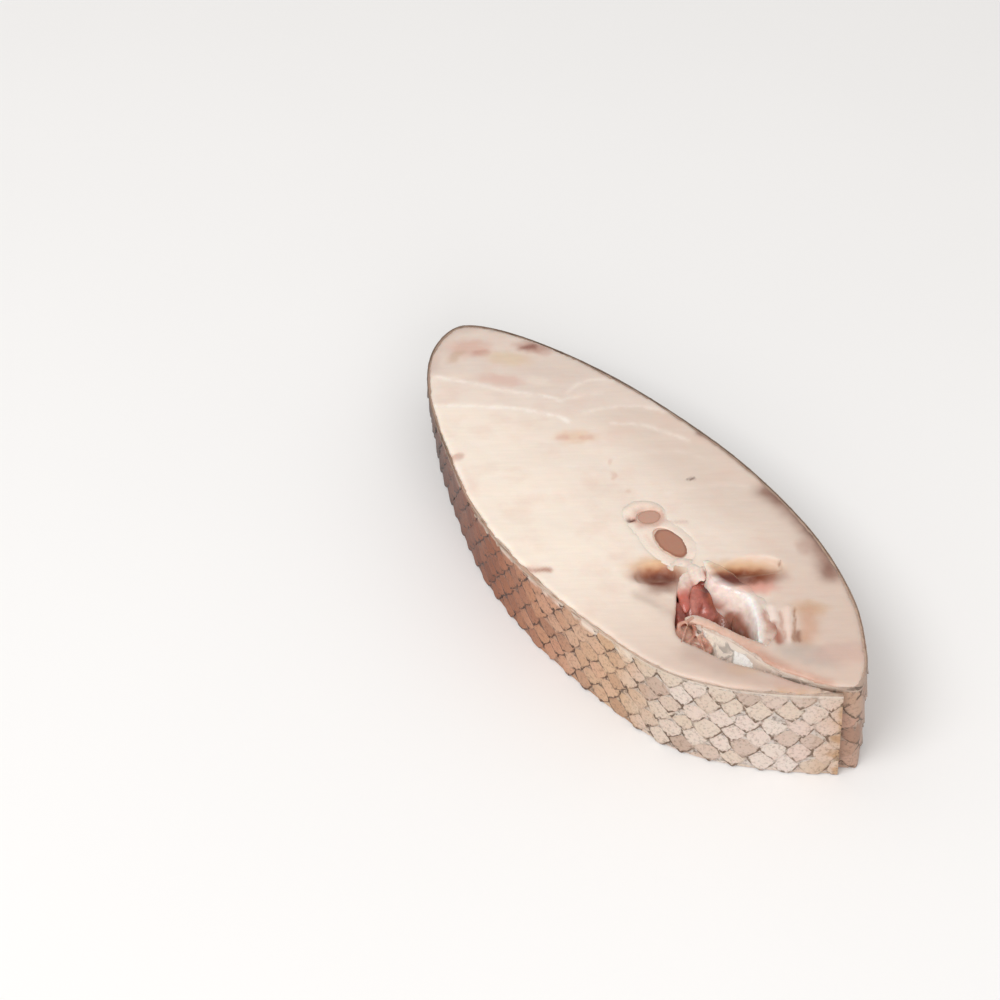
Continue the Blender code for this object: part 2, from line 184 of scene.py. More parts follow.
# Each patch of colour: its middle, its half length and half width, its turn, its colour and strength.
FLESH_PATCHES = (
    ((6.5, 28.8), (5.6, 2.8), -36, "#e4c0a2", 0.6),
    ((3.6, 30.8), (1.8, 1.2), -36, "#dbae9c", 0.55),
    ((9.0, 26.8), (1.9, 1.1), -36, "#d5a693", 0.55),
    ((7.9, 14.4), (1.2, 0.7), 20, "#dcb8a6", 0.6),
    ((5.1, 9.2), (1.3, 1.0), 60, "#dfbcaa", 0.6),
    ((4.3, 1.2), (1.0, 0.8), 0, "#e2c2ae", 0.6),
    ((6.0, 81.5), (6.5, 4.0), -30, "#d7b0a0", 0.75),
    ((7.7, 77.3), (2.6, 1.6), -30, "#c39181", 0.65),
    ((0.4, 80.5), (3.4, 1.6), 20, "#c9ab92", 0.6),
    ((-4.0, 72.0), (3.6, 1.6), -40, "#ecd9c8", 0.5),
    ((12.4, 70.0), (6.6, 3.0), -50, "#dcc3a4", 0.65),
    ((21.2, 69.2), (5.2, 2.2), -58, "#b98f80", 0.85),
    ((20.6, 70.4), (2.2, 1.0), -50, "#8d5c50", 0.8),
    ((5.0, 63.0), (7.0, 2.6), -45, "#dfb9aa", 0.65),
    ((13.0, 56.0), (5.0, 2.0), -50, "#efe0d2", 0.5),
    ((22.0, 56.0), (9.0, 5.0), -50, "#dccabd", 0.5),
    ((21.4, -5.6), (1.0, 0.7), -30, "#7d6156", 0.9),
    ((27.6, -45.4), (3.0, 1.8), 60, "#c3a496", 0.6),
    ((13.6, -63.4), (4.6, 2.6), -45, "#cfa986", 0.6),
    ((1.6, -75.6), (7.0, 3.4), -58, "#beb2a8", 0.8),
    ((9.4, -80.8), (8.0, 3.6), -30, "#cfaea1", 0.65),
    ((-18.8, -62.4), (8.6, 4.0), -62, "#cbb3a7", 0.65),
    ((-15.3, -69.4), (4.0, 1.6), -50, "#d9ae86", 0.5),
    ((-8.3, -79.9), (4.4, 2.2), -50, "#ddb3a6", 0.65),
    # A grey patch below the left rib pocket: painted shade in the hollow there.
    ((-16.4, -36.6), (5.6, 2.4), -62, "#d3bdae", 0.5),
    ((-25.0, 42.3), (1.7, 1.2), 30, "#c49886", 0.6),
    ((-28.6, 45.4), (2.0, 1.0), 60, "#b98c60", 0.6),
    ((19.1, -45.6), (0.7, 0.5), 0, "#6e4031", 0.8),
    ((-3.3, -86.4), (0.7, 0.6), 0, "#573a2c", 0.8),
    ((0.2, -90.4), (0.8, 0.6), 0, "#5c3d2e", 0.85),
)
# Each soft line: its points, its half width, its colour and strength, and how far it stands up.
FLESH_LINES = (
    (((-16.0, -42.0), (-17.6, -46.0), (-19.0, -50.0)), 1.2, "#c49a88", 0.6, 0.0),
    (((-17.1, -46.6), (-14.6, -48.8), (-12.9, -50.9), (-10.3, -57.3), (-8.9, -62.0), (-7.4, -69.0),
      (-6.0, -74.6), (-4.0, -80.0), (-0.6, -86.4)), 1.6, "#c08d77", 0.8, 0.0),
    # A brownish strip along the band's upper edge: painted shadow of the lining membrane.
    (((-9.8, -49.5), (-7.3, -55.5), (-5.5, -60.5), (-4.1, -65.3)), 1.3, "#c59a8b", 0.75, 0.0),
    # The pale line on the band's upper edge is the membrane's edge, painted lighter as a highlight.
    (((-14.9, -47.4), (-11.9, -50.2), (-9.4, -56.2), (-7.6, -61.2), (-6.2, -66.0)),
     0.45, "#e0b8a2", 0.65, 0.3),
    (((-14.3, -48.3), (-13.9, -51.8), (-12.8, -55.4), (-11.0, -60.4)), 0.55, "#8f4f38", 0.8, -0.35),
    (((-11.4, -60.4), (-9.0, -68.8), (-6.7, -75.1), (-5.2, -81.0), (-2.3, -87.2), (1.6, -91.0)),
     0.5, "#f6e4d6", 0.85, 0.1),
    (((3.4, -57.0), (0.6, -61.6), (-2.4, -66.0)), 0.55, "#b98472", 0.75, -0.45),
    (((5.9, -57.2), (3.6, -60.6), (2.2, -62.6)), 0.95, "#f4e2d8", 0.85, 0.45),
    (((2.4, -62.2), (0.6, -65.6), (-0.7, -68.0)), 0.9, "#a3583f", 0.85, -0.25),
    (((6.6, -60.0), (4.3, -63.2), (1.2, -67.4)), 0.45, "#c08b78", 0.7, -0.35),
    (((8.8, -60.0), (6.9, -62.2), (4.2, -65.4), (1.3, -69.2)), 0.9, "#f0d8cb", 0.85, 0.4),
    (((10.4, -61.0), (6.2, -65.9), (2.2, -70.2)), 0.35, "#a0694c", 0.8, -0.3),
    (((12.4, -64.0), (8.8, -68.6), (4.6, -71.0)), 2.5, "#cda186", 0.8, 0.0),
    (((5.2, -68.2), (3.2, -70.6)), 0.7, "#8d5c45", 0.8, 0.0),
    (((-22.0, -57.0), (-18.0, -66.5), (-13.2, -76.0), (-7.6, -84.6)), 2.6, "#c9ae9f", 0.6, 0.0),
    (((-12.0, -80.5), (-6.6, -86.0), (-2.0, -90.4)), 1.3, "#c59e79", 0.75, 0.0),
    (((-21.0, -72.6), (-12.8, -80.4), (-7.0, -85.8), (-2.4, -90.8)), 0.5, "#a58163", 0.6, 0.0),
    (((34.6, -22.0), (35.0, -30.0), (34.4, -37.0), (32.8, -44.0), (30.0, -51.0), (26.4, -57.6)),
     2.9, "#835747", 0.9, 0.0),
    (((35.6, -34.0), (34.6, -41.0), (32.4, -47.4)), 1.5, "#542c21", 0.9, 0.0),
    (((35.6, 8.6), (36.8, 3.6), (37.0, -1.0)), 1.1, "#8d6657", 0.9, 0.0),
    (((36.6, -2.0), (36.8, -12.0), (36.0, -24.0)), 0.9, "#a88474", 0.7, 0.0),
    (((16.8, 84.0), (21.6, 79.0), (27.1, 71.4), (31.4, 58.4), (34.0, 42.0)), 1.3, "#aea398", 0.75, 0.0),
    (((-9.0, 79.6), (-1.6, 87.4), (6.0, 91.0), (13.0, 88.6)), 2.0, "#cdb6a9", 0.65, 0.0),
    (((-27.0, 41.6), (-28.8, 36.0), (-31.2, 29.0)), 0.9, "#fbe8de", 0.6, 0.15),
    (((-26.2, 43.6), (-27.6, 41.4)), 0.9, "#e3b7a2", 0.6, -0.3),
    (((-37.0, -4.4), (-35.4, -7.2), (-32.2, -10.2)), 0.8, "#b27c69", 0.85, -0.1),
    (((5.5, -14.6), (9.2, -18.6)), 0.55, "#cdaea2", 0.5, 0.0),
    (((15.6, -47.2), (11.9, -50.2), (8.0, -53.3)), 0.6, "#e9bfae", 0.7, 0.25),
    # A sunk grey line below the left rib pocket: painted shade in the hollow there.
    (((-18.6, -31.6), (-17.2, -36.4), (-16.6, -42.0)), 1.6, "#cbb6a9", 0.4, -0.4),
)
# The pockets that the torn ribs left. Their floors fall away from the belly to a steep far wall. Their
# colours are an ochre edge, a brown-red blood stain and painted shade: the grey-brown below the left pocket
# is painted shade, and the dark core is the blood stain darkened by the painted shade under the far wall.
# They are placed as they look from the belly side, where what lies deeper looks nearer.
RIB_POCKETS = (
    {"middle": (-11.6, -30.6), "half": (5.6, 3.5), "turn": -32.0, "stains_and_shade": (
        ((-9.0, -26.6), (6.4, 3.2), "#dbac7b", 0.8), ((-12.2, -34.4), (4.6, 2.0), "#9c7a6b", 0.8),
        ((-10.2, -29.4), (6.2, 2.6), "#a5562b", 0.85), ((-10.4, -31.2), (6.2, 2.5), "#7c3304", 1.0),
        ((-10.6, -31.6), (4.0, 1.6), "#641c00", 0.9),
    )},
    {"middle": (11.2, -44.6), "half": (8.0, 3.3), "turn": -32.0, "stains_and_shade": (
        ((8.6, -40.8), (9.6, 3.0), "#dbac7b", 0.8), ((7.8, -49.0), (5.0, 2.4), "#dc9c8c", 0.9),
        ((7.0, -42.8), (9.4, 2.2), "#a8592b", 0.85), ((6.8, -44.4), (9.2, 2.3), "#7c3304", 1.0),
        ((4.8, -43.4), (5.0, 1.7), "#641c00", 0.9),
    )},
)
POCKET_LIFT = 0.35        # share of the pockets' depth that the soft flesh fills back
POCKET_FLOOR = (8.0, 4.6)  # the lift ends between these depths
# The pockets' blood stain and painted shade fade in between the depths below.
STAIN_AND_SHADE_DEPTH = (7.0, 4.5)  # and the stains between these
SEEN_AWAY = (0.59, 0.81)  # the way from the belly side across the face
WALL_BAND = (0.44, 0.56)  # the slice's upright walls are looked for between these heights
UPPER_FACE = 20.0         # level faces higher than this belong to the upper cut face


def cad_copy(node, name):
    """A CAD node's mesh as an object of its own, with its loose triangles joined up."""
    work = bmesh.new()
    work.from_mesh(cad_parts[node].data)
    bmesh.ops.remove_doubles(work, verts=work.verts, dist=1e-6)
    mesh = bpy.data.meshes.new(name)
    work.to_mesh(mesh)
    work.free()
    return new_object(name, mesh)


def fuse(obj, size):
    """Turns whatever closed shapes the object holds into one skin of small even faces."""
    step = obj.modifiers.new("fuse", "REMESH")
    step.mode = "VOXEL"
    step.voxel_size = size * MM
    step.adaptivity = 0.0
    bpy.context.view_layer.update()
    mesh = bpy.data.meshes.new_from_object(obj.evaluated_get(bpy.context.evaluated_depsgraph_get()))
    obj.modifiers.clear()
    mesh.name = obj.name
    obj.data = mesh


def places(mesh):
    """The mesh's vertices, in millimetres."""
    flat = np.empty(len(mesh.vertices) * 3, np.float32)
    mesh.vertices.foreach_get("co", flat)
    return flat.reshape(-1, 3).astype(float) / MM


def directions(mesh):
    """Which way the mesh faces at each vertex."""
    flat = np.empty(len(mesh.vertices) * 3, np.float32)
    mesh.vertices.foreach_get("normal", flat)
    return flat.reshape(-1, 3).astype(float)


def lay(mesh, spots):
    """Moves the mesh's vertices to these places, in millimetres."""
    mesh.vertices.foreach_set("co", (spots * MM).astype(np.float32).ravel())
    mesh.update()


def relaxed(mesh, spots, rounds, share):
    """Moves each vertex towards the middle of its neighbours, by its share, some rounds over."""
    edges = np.empty(len(mesh.edges) * 2, np.int32)
    mesh.edges.foreach_get("vertices", edges)
    edges = edges.reshape(-1, 2)
    count = np.bincount(edges.ravel(), minlength=len(spots))[:, None]
    for _ in range(rounds):
        total = np.zeros_like(spots)
        for axis in range(3):
            total[:, axis] = (
                np.bincount(edges[:, 0], spots[edges[:, 1], axis], len(spots))
                + np.bincount(edges[:, 1], spots[edges[:, 0], axis], len(spots))
            )
        spots = spots + share[:, None] * (total / count - spots)
    return spots


def fade(start, end, values):
    """0 at start and beyond, 1 at end and beyond, smooth between them."""
    t = np.clip((values - start) / (end - start), 0.0, 1.0)
    return t * t * (3.0 - 2.0 * t)


def ripple(spots, size, seed):
    """Smooth random heights, from about -1 to 1, with bumps as wide as size."""
    return np.array([noise.noise((p[0] / size, p[1] / size, p[2] / size + seed)) for p in spots]) * 1.6


def smooth_cubic(points, step):
    """A smooth line through the points, with a new point about every step."""
    points = np.array(points, float)
    made = []
    for k in range(len(points) - 1):
        a, b = points[max(k - 1, 0)], points[k]
        c, d = points[k + 1], points[min(k + 2, len(points) - 1)]
        for t in np.arange(0.0, 1.0, step / max(np.linalg.norm(c - b), step)):
            made.append(0.5 * (2 * b + (c - a) * t + (2 * a - 5 * b + 4 * c - d) * t * t
                               + (3 * b - a - 3 * c + d) * t ** 3))
    made.append(points[-1])
    return np.array(made)


def along(flat, line, width):
    """How much of a soft line each place has: 1 on the line, and fading out over its half width."""
    best = np.full(len(flat), np.inf)
    line = smooth_cubic(line, 1.5)
    for a, b in zip(line, line[1:]):
        run = b - a
        t = np.clip((flat - a) @ run / (run @ run), 0.0, 1.0)
        best = np.minimum(best, np.linalg.norm(flat - a - t[:, None] * run, axis=1))
    return np.exp(-((best / width) ** 2))


def patch(flat, middle, half, turn, soft=0.55):
    """How much of an oval patch each place has: 1 inside, 0 outside, with a soft edge."""
    c, s = math.cos(math.radians(turn)), math.sin(math.radians(turn))
    moved = flat - np.array(middle)
    return fade(1.0 + soft, 1.0 - soft, np.hypot((moved @ (c, s)) / half[0], (moved @ (-s, c)) / half[1]))


def plain(colour, count):
    """The same hex colour for each of so many vertices."""
    return np.tile(np.array(linear(colour)), (count, 1))


def blend(colours, cover, colour):
    """Lays a hex colour over the colours, as much as the cover says."""
    return colours + cover[:, None] * (np.array(linear(colour)) - colours)


def painted(flat, colours, patches, lines):
    """Colours with the patches and soft lines laid over them. A little stirring makes their edges uneven."""
    level = np.zeros(len(flat))
    stirred = flat + 0.7 * np.c_[ripple(np.c_[flat, level], 2.6, 3.0), ripple(np.c_[flat, level], 2.6, 8.0)]
    for middle, half, turn, colour, strength in patches:
        colours = blend(colours, strength * patch(stirred, middle, half, turn), colour)
    stirred = 0.5 * (stirred + flat)
    for line, width, colour, strength, _ in lines:
        colours = blend(colours, strength * along(stirred, line, width), colour)
    return colours


def relief_of(flat, lines):
    """How far the soft lines raise or sink each place."""
    return sum(rise * along(flat, line, 1.2 * width) for line, width, _, _, rise in lines if rise)


def store(mesh, name, values):
    """Keeps one number or one colour for each vertex, for the material to read."""
    many = values.ndim == 2
    kept = mesh.attributes.new(name, "FLOAT_COLOR" if many else "FLOAT", "POINT")
    kept.data.foreach_set("color" if many else "value", values.astype(np.float32).ravel())


def stained_and_shaded(spots, flat, colours):
    """Colours with the pockets' blood stain and painted shade laid over them, on both cut faces."""
    for sunk in (height(spots[:, 1]) - spots[:, 2], spots[:, 2]):
        seen = flat - np.maximum(sunk, 0.0)[:, None] * SEEN_AWAY
        seen += 0.5 * np.c_[ripple(spots, 2.2, 3.0), ripple(spots, 2.2, 8.0)]
        for pocket in RIB_POCKETS:
            for middle, half, colour, strength in pocket["stains_and_shade"]:
                cover = fade(*STAIN_AND_SHADE_DEPTH, sunk) * patch(seen, middle, half, -36.0, soft=0.75)
                colours = blend(colours, strength * cover, colour)
    return colours


flesh = cad_copy("flesh", "steak_flesh")
upward = [f for f in flesh.data.polygons if f.normal.z > 0.99 and f.center.z > UPPER_FACE * MM]
face_spots = np.array([flesh.data.vertices[v].co for f in upward for v in f.vertices]) / MM
top_slope, top_height = np.polyfit(face_spots[:, 1], face_spots[:, 2], 1)


def height(y):
    """How high the upper cut face is, over a place on the slice."""
    return top_height + top_slope * y


def upright(spots):
    """Places in the frame as x, y on the cut face and s up through the slice."""
    s = spots[:, 2] / height(spots[:, 1])
    return np.c_[spots[:, 0] - LEAN * (0.5 - s), spots[:, 1]], s


def leaning(flat, s):
    """The way back from upright."""
    return np.c_[flat[:, 0] + LEAN * (0.5 - s), flat[:, 1], s * height(flat[:, 1])]


def sagging(flat, s):
    """The cut face's own gentle unevenness, which every piece that it crosses shares."""
    level = np.c_[flat, np.round(s)]
    return 0.22 * ripple(level, 17.0, 1.0) + 0.06 * ripple(level, 4.0, 5.0)


def nearest(flat):
    """A search tree of places on the slice."""
    made = kdtree.KDTree(len(flat))
    for k, place in enumerate(flat):
        made.insert((*place, 0.0), k)
    made.balance()
    return made


def walls_of(mesh, flat, s):
    """For each vertex, how far the mesh's nearest upright wall is and which way that wall faces."""
    facing = directions(mesh)
    walls = np.nonzero((np.abs(facing[:, 2]) < 0.5) & (s > WALL_BAND[0]) & (s < WALL_BAND[1]))[0]
    tree_of_walls = nearest(flat[walls])
    found = [tree_of_walls.find((*place, 0.0)) for place in flat]
    outward = facing[walls[[hit[1] for hit in found]], :2]
    return np.array([hit[2] for hit in found]), outward / np.linalg.norm(outward, axis=1)[:, None]


def muscle_colour(flat, level):
    """Brighter at the left and duller at the right, which is painted light falling across the face from the
    left;
    duller at the belly too, and greyer towards the back. The level only moves the unevenness of it."""
    across = fade(-30.0, 36.0, flat[:, 0] + 4.0 * ripple(np.c_[flat, level], 22.0, 9.0))
    colours = plain(MUSCLE["left"], len(flat))
    colours = blend(colours, fade(0.0, 0.55, across), MUSCLE["middle"])
    colours = blend(colours, fade(0.45, 1.0, across), MUSCLE["right"])
    for line, colour in GREYER:
        line = smooth_cubic(line, 1.0)
        beyond = flat[:, 1] - np.interp(flat[:, 0], line[:, 0], line[:, 1])
        colours = blend(colours, 0.6 * fade(-0.3, 1.6, beyond), colour)
    return blend(colours, 0.9 * fade(-18.0, -80.0, flat[:, 1] + 0.35 * flat[:, 0]), TOWARDS_BELLY)


fuse(flesh, FLESH_GRAIN)
spots = places(flesh.data)
flat, s = upright(spots)
rim, outward = walls_of(flesh.data, flat, s)
bone_tree = nearest(upright(places(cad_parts["vertebra"].data))[0])
by_bone = fade(3.4, 1.4, np.array([bone_tree.find((*place, 0.0))[2] for place in flat]))
# The cut faces are made flat, and the flesh swells out over its walls beside them.
depth = height(spots[:, 1]) - spots[:, 2]
upper = (depth < FACE_SNAP) & (rim > 0.4)
lower = (spots[:, 2] < FACE_SNAP) & (rim > 0.4)
spots[upper, 2] = height(spots[upper, 1])
spots[lower, 2] = 0.0
from_face = np.minimum(depth, spots[:, 2])
spots[:, :2] += outward * (SWELL_OUT * fade(2.6, 0.2, rim) * fade(2.2, 0.5, from_face))[:, None]
spots = relaxed(flesh.data, spots, 6, np.where(upper | lower, 0.25, 0.5))
# The upper face gets its soft rim and its low relief, and the pockets are made shallower on both faces.
drop = RIM_ROUND - np.sqrt(np.maximum(RIM_ROUND ** 2 - np.maximum(RIM_ROUND - rim, 0.0) ** 2, 0.0))
threads = np.max([strength * along(flat, line, 0.9) for strength, line in SEPTA], axis=0)
swell = sagging(flat, s) - 0.05 * threads - 0.5 * drop * (1.0 - by_bone) + relief_of(flat, FLESH_LINES)
spots[:, 2] += fade(3.0, 0.5, depth) * swell
foot = spots[:, 2].copy()
for pocket in RIB_POCKETS:
    inside = patch(flat, pocket["middle"], np.array(pocket["half"]) + 1.5, pocket["turn"], soft=0.2)
    spots[:, 2] += inside * POCKET_LIFT * depth * fade(*POCKET_FLOOR, depth)
    spots[:, 2] -= inside * POCKET_LIFT * foot * fade(*POCKET_FLOOR, foot)
    spots = relaxed(flesh.data, spots, 4, 0.4 * inside * fade(*POCKET_FLOOR, np.minimum(depth, foot)))
lay(flesh.data, spots)

tint = muscle_colour(flat, s)
in_cavity = fade(-30.0, -36.0, flat[:, 1]) * (rim < 1.5)
# The cavity's walls are painted darker further down, partly as painted shade.
tint = blend(tint, in_cavity * fade(0.8, 5.0, depth), DEEP_FLESH)
tint = painted(flat, tint, FLESH_PATCHES, FLESH_LINES)
tint = stained_and_shaded(spots, flat, tint)
store(flesh.data, "tint", tint)
store(flesh.data, "thread", threads * fade(0.35, 0.0, np.maximum(in_cavity, by_bone)))
flesh.data.shade_smooth()


def grain(tree, size, detail, roughness=0.5, where=None):
    """A cloudy noise fixed to the piece, with grains of about this size in millimetres."""
    if where is None:
        where = add(tree, "ShaderNodeTexCoord").outputs["Object"]
    return add(tree, "ShaderNodeTexNoise", {
        "Scale": 1.0 / (size * MM), "Detail": detail, "Roughness": roughness, "Vector": where,
    }).outputs["Fac"]


def stored(tree, name, output="Fac"):
    """What store kept on the piece under this name, as a number or with output "Color" as a colour."""
    return add(tree, "ShaderNodeAttribute", attribute_name=name).outputs[output]


def ranged(tree, source, low, high, to_low, to_high):
    """The source's values from low to high, mapped onto two others and held at them beyond."""
    return add(tree, "ShaderNodeMapRange", {0: source, 1: low, 2: high, 3: to_low, 4: to_high}).outputs[0]


def maths(tree, operation, *given):
    """A sum, product or the like of values and outputs."""
    return add(tree, "ShaderNodeMath", dict(enumerate(given)), operation=operation).outputs[0]


def mixed(tree, share, under, over, blend_type="MIX"):
    """Two colours mixed by the second one's share."""
    made = add(tree, "ShaderNodeMix", {0: share, 6: under, 7: over}, data_type="RGBA", blend_type=blend_type)
    return made.outputs[2]


def relief(tree, shader, heights, strength, depth):
    """Fine relief for a finish, from a pattern's heights and a depth in millimetres."""
    made = add(tree, "ShaderNodeBump", {"Strength": strength, "Distance": depth * MM, "Height": heights})
    tree.links.new(made.outputs["Normal"], shader.inputs["Normal"])


# Raw white fish muscle, fresh from the knife: it lets light in, so its shadows are soft and warm, and it
# is wet, so it shines a little. The blade's drag shows as faint streaks, and the septa as paler threads.
STREAK_TURN = math.radians(-36.0)
STREAK_STRETCH = (8.0, 1.0, 3.0)
muscle_finish, tree, shader = finish(
    "wet_raw_white_fish", Roughness=0.45, IOR=1.38, Subsurface_Weight=0.25, Subsurface_Scale=0.0015,
    Subsurface_Radius=(1.0, 0.55, 0.35), Coat_Weight=0.12, Coat_Roughness=0.2,
)
turned = add(tree, "ShaderNodeMapping", {
    "Rotation": (0.0, 0.0, STREAK_TURN), "Scale": STREAK_STRETCH,
    "Vector": add(tree, "ShaderNodeTexCoord").outputs["Object"],
}, vector_type="TEXTURE")
streaks = grain(tree, 1.3, 3.0, 0.55, turned.outputs["Vector"])
streaked = ranged(tree, streaks, 0.3, 0.7, 0.98, 1.02)
shaded = mixed(tree, 1.0, stored(tree, "tint", "Color"), streaked, "MULTIPLY")
flush = ranged(tree, grain(tree, 9.0, 4.0), 0.5, 0.72, 0.0, 0.3)
warmed = mixed(tree, flush, shaded, linear("#e3c2b1"))
frayed = ranged(tree, grain(tree, 3.0, 3.0), 0.35, 0.58, 0.35, 1.0)
shown = maths(tree, "MULTIPLY", stored(tree, "thread"), frayed)
threaded = mixed(tree, shown, warmed, linear("#fdf1e6"))
tree.links.new(threaded, shader.inputs["Base Color"])
relief(tree, shader, maths(tree, "MULTIPLY_ADD", grain(tree, 0.5, 2.0), 0.3, streaks), 0.4, 0.1)
flesh.data.materials.clear()
flesh.data.materials.append(muscle_finish)
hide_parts("flesh")
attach(flesh, "root")


# The hide is a band of tough skin wrapped round the flesh, from the free edge of the left belly flap over
# the back to the tip of the tucked right flap. Its line is read from the CAD skin's inner side.
HIDE = 0.9                # thickness of the skin under its scales
HIDE_UNDER = 0.7          # how far the skin's inner side reaches into the flesh
RIM_BELOW = 0.35          # the skin's rims stay this far inside the cut faces
SKIN_EDGE_TALL = 20.0     # the upright edges of the CAD skin are taller than this
SKIN_EDGE_PLUMB = 0.08    # and straight to within this
HIDE_STEP = 1.0           # one section of the band every millimetre
HIDE_BEND = 1.6           # its direction is taken between points this far ahead and behind
TUCK_SAG = 4.6            # how far the tucked skin bulges into the gap between the flaps
TUCK_SLACK = (0.0, 4.0, 20.0, 30.0)  # where it does so: how far from the skin's tucked end
TUCK_DEPTH = (0.0, 6.5, 8.0, 18.0)   # and how far below the upper cut face
# The skin's pigment on the way round the fish: how far round, the ground colour, and the colour that
# gathers along the scales' free edges, which carries the painted shade of the crevice under each edge too.
# The browns of the left flank, from about 0.2 to 0.38 round, are darkened by painted shade as well, and the
# tucked skin past 0.92 is painted paler, as painted light in its shaded gap.
PIGMENT_AND_PAINTED_LIGHT = (
    (0.0, "#bb9d7e", "#5f4128"), (0.004, "#cdb9a8", "#6a5240"), (0.02, "#d8ccc4", "#6f5b4b"),
    (0.06, "#dacfc7", "#6b5646"), (0.105, "#d6c8bc", "#5a4434"), (0.135, "#d0b092", "#543a29"),
    (0.16, "#ccaa90", "#4a3020"), (0.205, "#bd8a6c", "#3d2214"), (0.245, "#9a5e3c", "#34190c"),
    (0.29, "#83492b", "#2a130a"), (0.38, "#5c3825", "#1d1310"), (0.60, "#4d392f", "#1d1411"),
    (0.70, "#7a5d4e", "#32221a"), (0.79, "#a88d7c", "#56412f"), (0.86, "#bfa694", "#66503f"),
    (0.905, "#b89a89", "#5d493a"), (0.922, "#eee0d5", "#b9a595"), (0.96, "#f8f3ee", "#b7aba1"),
    (1.0, "#f6eee7", "#b7aba1"),
)


def ribs_of_skin():
    """The CAD skin's inner side is a strip of tall faces. Their upright edges, in order, are its line."""
    work = bmesh.new()
    work.from_mesh(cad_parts["skin"].data)
    bmesh.ops.remove_doubles(work, verts=work.verts, dist=1e-6)
    feet = {}
    for line in work.edges:
        foot, head = sorted(line.verts, key=lambda v: v.co.z)
        ends, _ = upright(np.array([foot.co, head.co]) / MM)
        astray = np.linalg.norm(ends[1] - ends[0])
        if head.co.z - foot.co.z > SKIN_EDGE_TALL * MM and astray < SKIN_EDGE_PLUMB:
            feet[foot] = ends[0]
    beside = {
        foot: [line.other_vert(foot) for line in foot.link_edges if line.other_vert(foot) in feet]
        for foot in feet
    }
    tips = [foot for foot in feet if len(beside[foot]) == 1]
    walk = [min(tips, key=lambda v: v.co.y)]
    while len(walk) < len(feet):
        onward = [v for v in beside[walk[-1]] if v not in walk]
        if not onward:
            break
        walk.append(onward[0])
    line = np.array([feet[v] for v in walk])
    work.free()
    return line


hide_line = smooth_cubic(ribs_of_skin(), 0.5)
along_line = np.r_[0.0, np.cumsum(np.linalg.norm(np.diff(hide_line, axis=0), axis=1))]
HIDE_LENGTH = along_line[-1]


def between(start, full, still_full, end, values):
    """0 up to the start, 1 from full to still full, and 0 again from the end on."""
    return fade(start, full, values) * fade(end, still_full, values)


def on_hide_line(u):
    """The places at these lengths along the hide's line."""
    return np.c_[np.interp(u, along_line, hide_line[:, 0]), np.interp(u, along_line, hide_line[:, 1])]


def wrapped(u, v, h):
    """Wraps a flat sheet round the slice: u along the hide, v up from its foot, h outwards from the flesh."""
    inside = np.clip(u, 0.0, HIDE_LENGTH)
    place = on_hide_line(inside)
    run = (on_hide_line(np.clip(inside + HIDE_BEND, 0, HIDE_LENGTH))
           - on_hide_line(np.clip(inside - HIDE_BEND, 0, HIDE_LENGTH)))
    run /= np.linalg.norm(run, axis=1)[:, None]
    below = (1.0 - v) * height(place[:, 1])
    h = h + TUCK_SAG * between(*TUCK_SLACK, HIDE_LENGTH - u) * between(*TUCK_DEPTH, below)
    flat = place + run * (u - inside)[:, None] + np.c_[-run[:, 1], run[:, 0]] * h[:, None]
    tall = height(flat[:, 1])
    s = (RIM_BELOW + v * (tall - 2 * RIM_BELOW)) / tall
    return leaning(flat, s)


def loft(name, rings):
    """A closed skin over a row of closed rings of points, with a cap on its first and last ring."""
    around = rings.shape[1]
    work = bmesh.new()
    grid = [[work.verts.new(p * MM) for p in ring] for ring in rings]
    for one, two in zip(grid, grid[1:]):
        for k in range(around):
            work.faces.new([one[k], one[(k + 1) % around], two[(k + 1) % around], two[k]])
    work.faces.new(grid[0])
    work.faces.new(grid[-1])
    bmesh.ops.recalc_face_normals(work, faces=work.faces)
    mesh = bpy.data.meshes.new(name)
    work.to_mesh(mesh)
    work.free()
    mesh.shade_smooth()
    return new_object(name, mesh)


def pigments_and_painted_light(tree, place):
    """The ground and edge colours, with their painted shade and light, for how far round the fish a place is.
    """
    return (
        colour_ramp(tree, place, [(at, ground) for at, ground, _ in PIGMENT_AND_PAINTED_LIGHT]),
        colour_ramp(tree, place, [(at, edge) for at, _, edge in PIGMENT_AND_PAINTED_LIGHT]),
    )


up_through = np.array([0.0, 0.012, 0.05, 0.2, 0.35, 0.5, 0.65, 0.8, 0.95, 0.988, 1.0])
outer_side = np.c_[up_through, np.full(len(up_through), HIDE)]
outer_side[[0, -1], 1] -= 0.3
inner_side = np.c_[up_through[::-1], np.full(len(up_through), -HIDE_UNDER)]
section = np.r_[outer_side, inner_side]
rings = []
for u in np.linspace(0.0, HIDE_LENGTH, int(HIDE_LENGTH / HIDE_STEP)):
    many = np.full(len(section), u)
    rings.append(wrapped(many, section[:, 0], section[:, 1]))
hide = loft("hide", np.array(rings))
spots = places(hide.data)
_, s = upright(spots)
spots[:, 2] += fade(0.9, 1.0, s) * (0.2 * ripple(spots, 2.0, 2.0) - 0.25)
lay(hide.data, spots)
store(hide.data, "round", np.repeat(np.linspace(0.0, 1.0, len(rings)), len(section)))
store(hide.data, "rise", s)

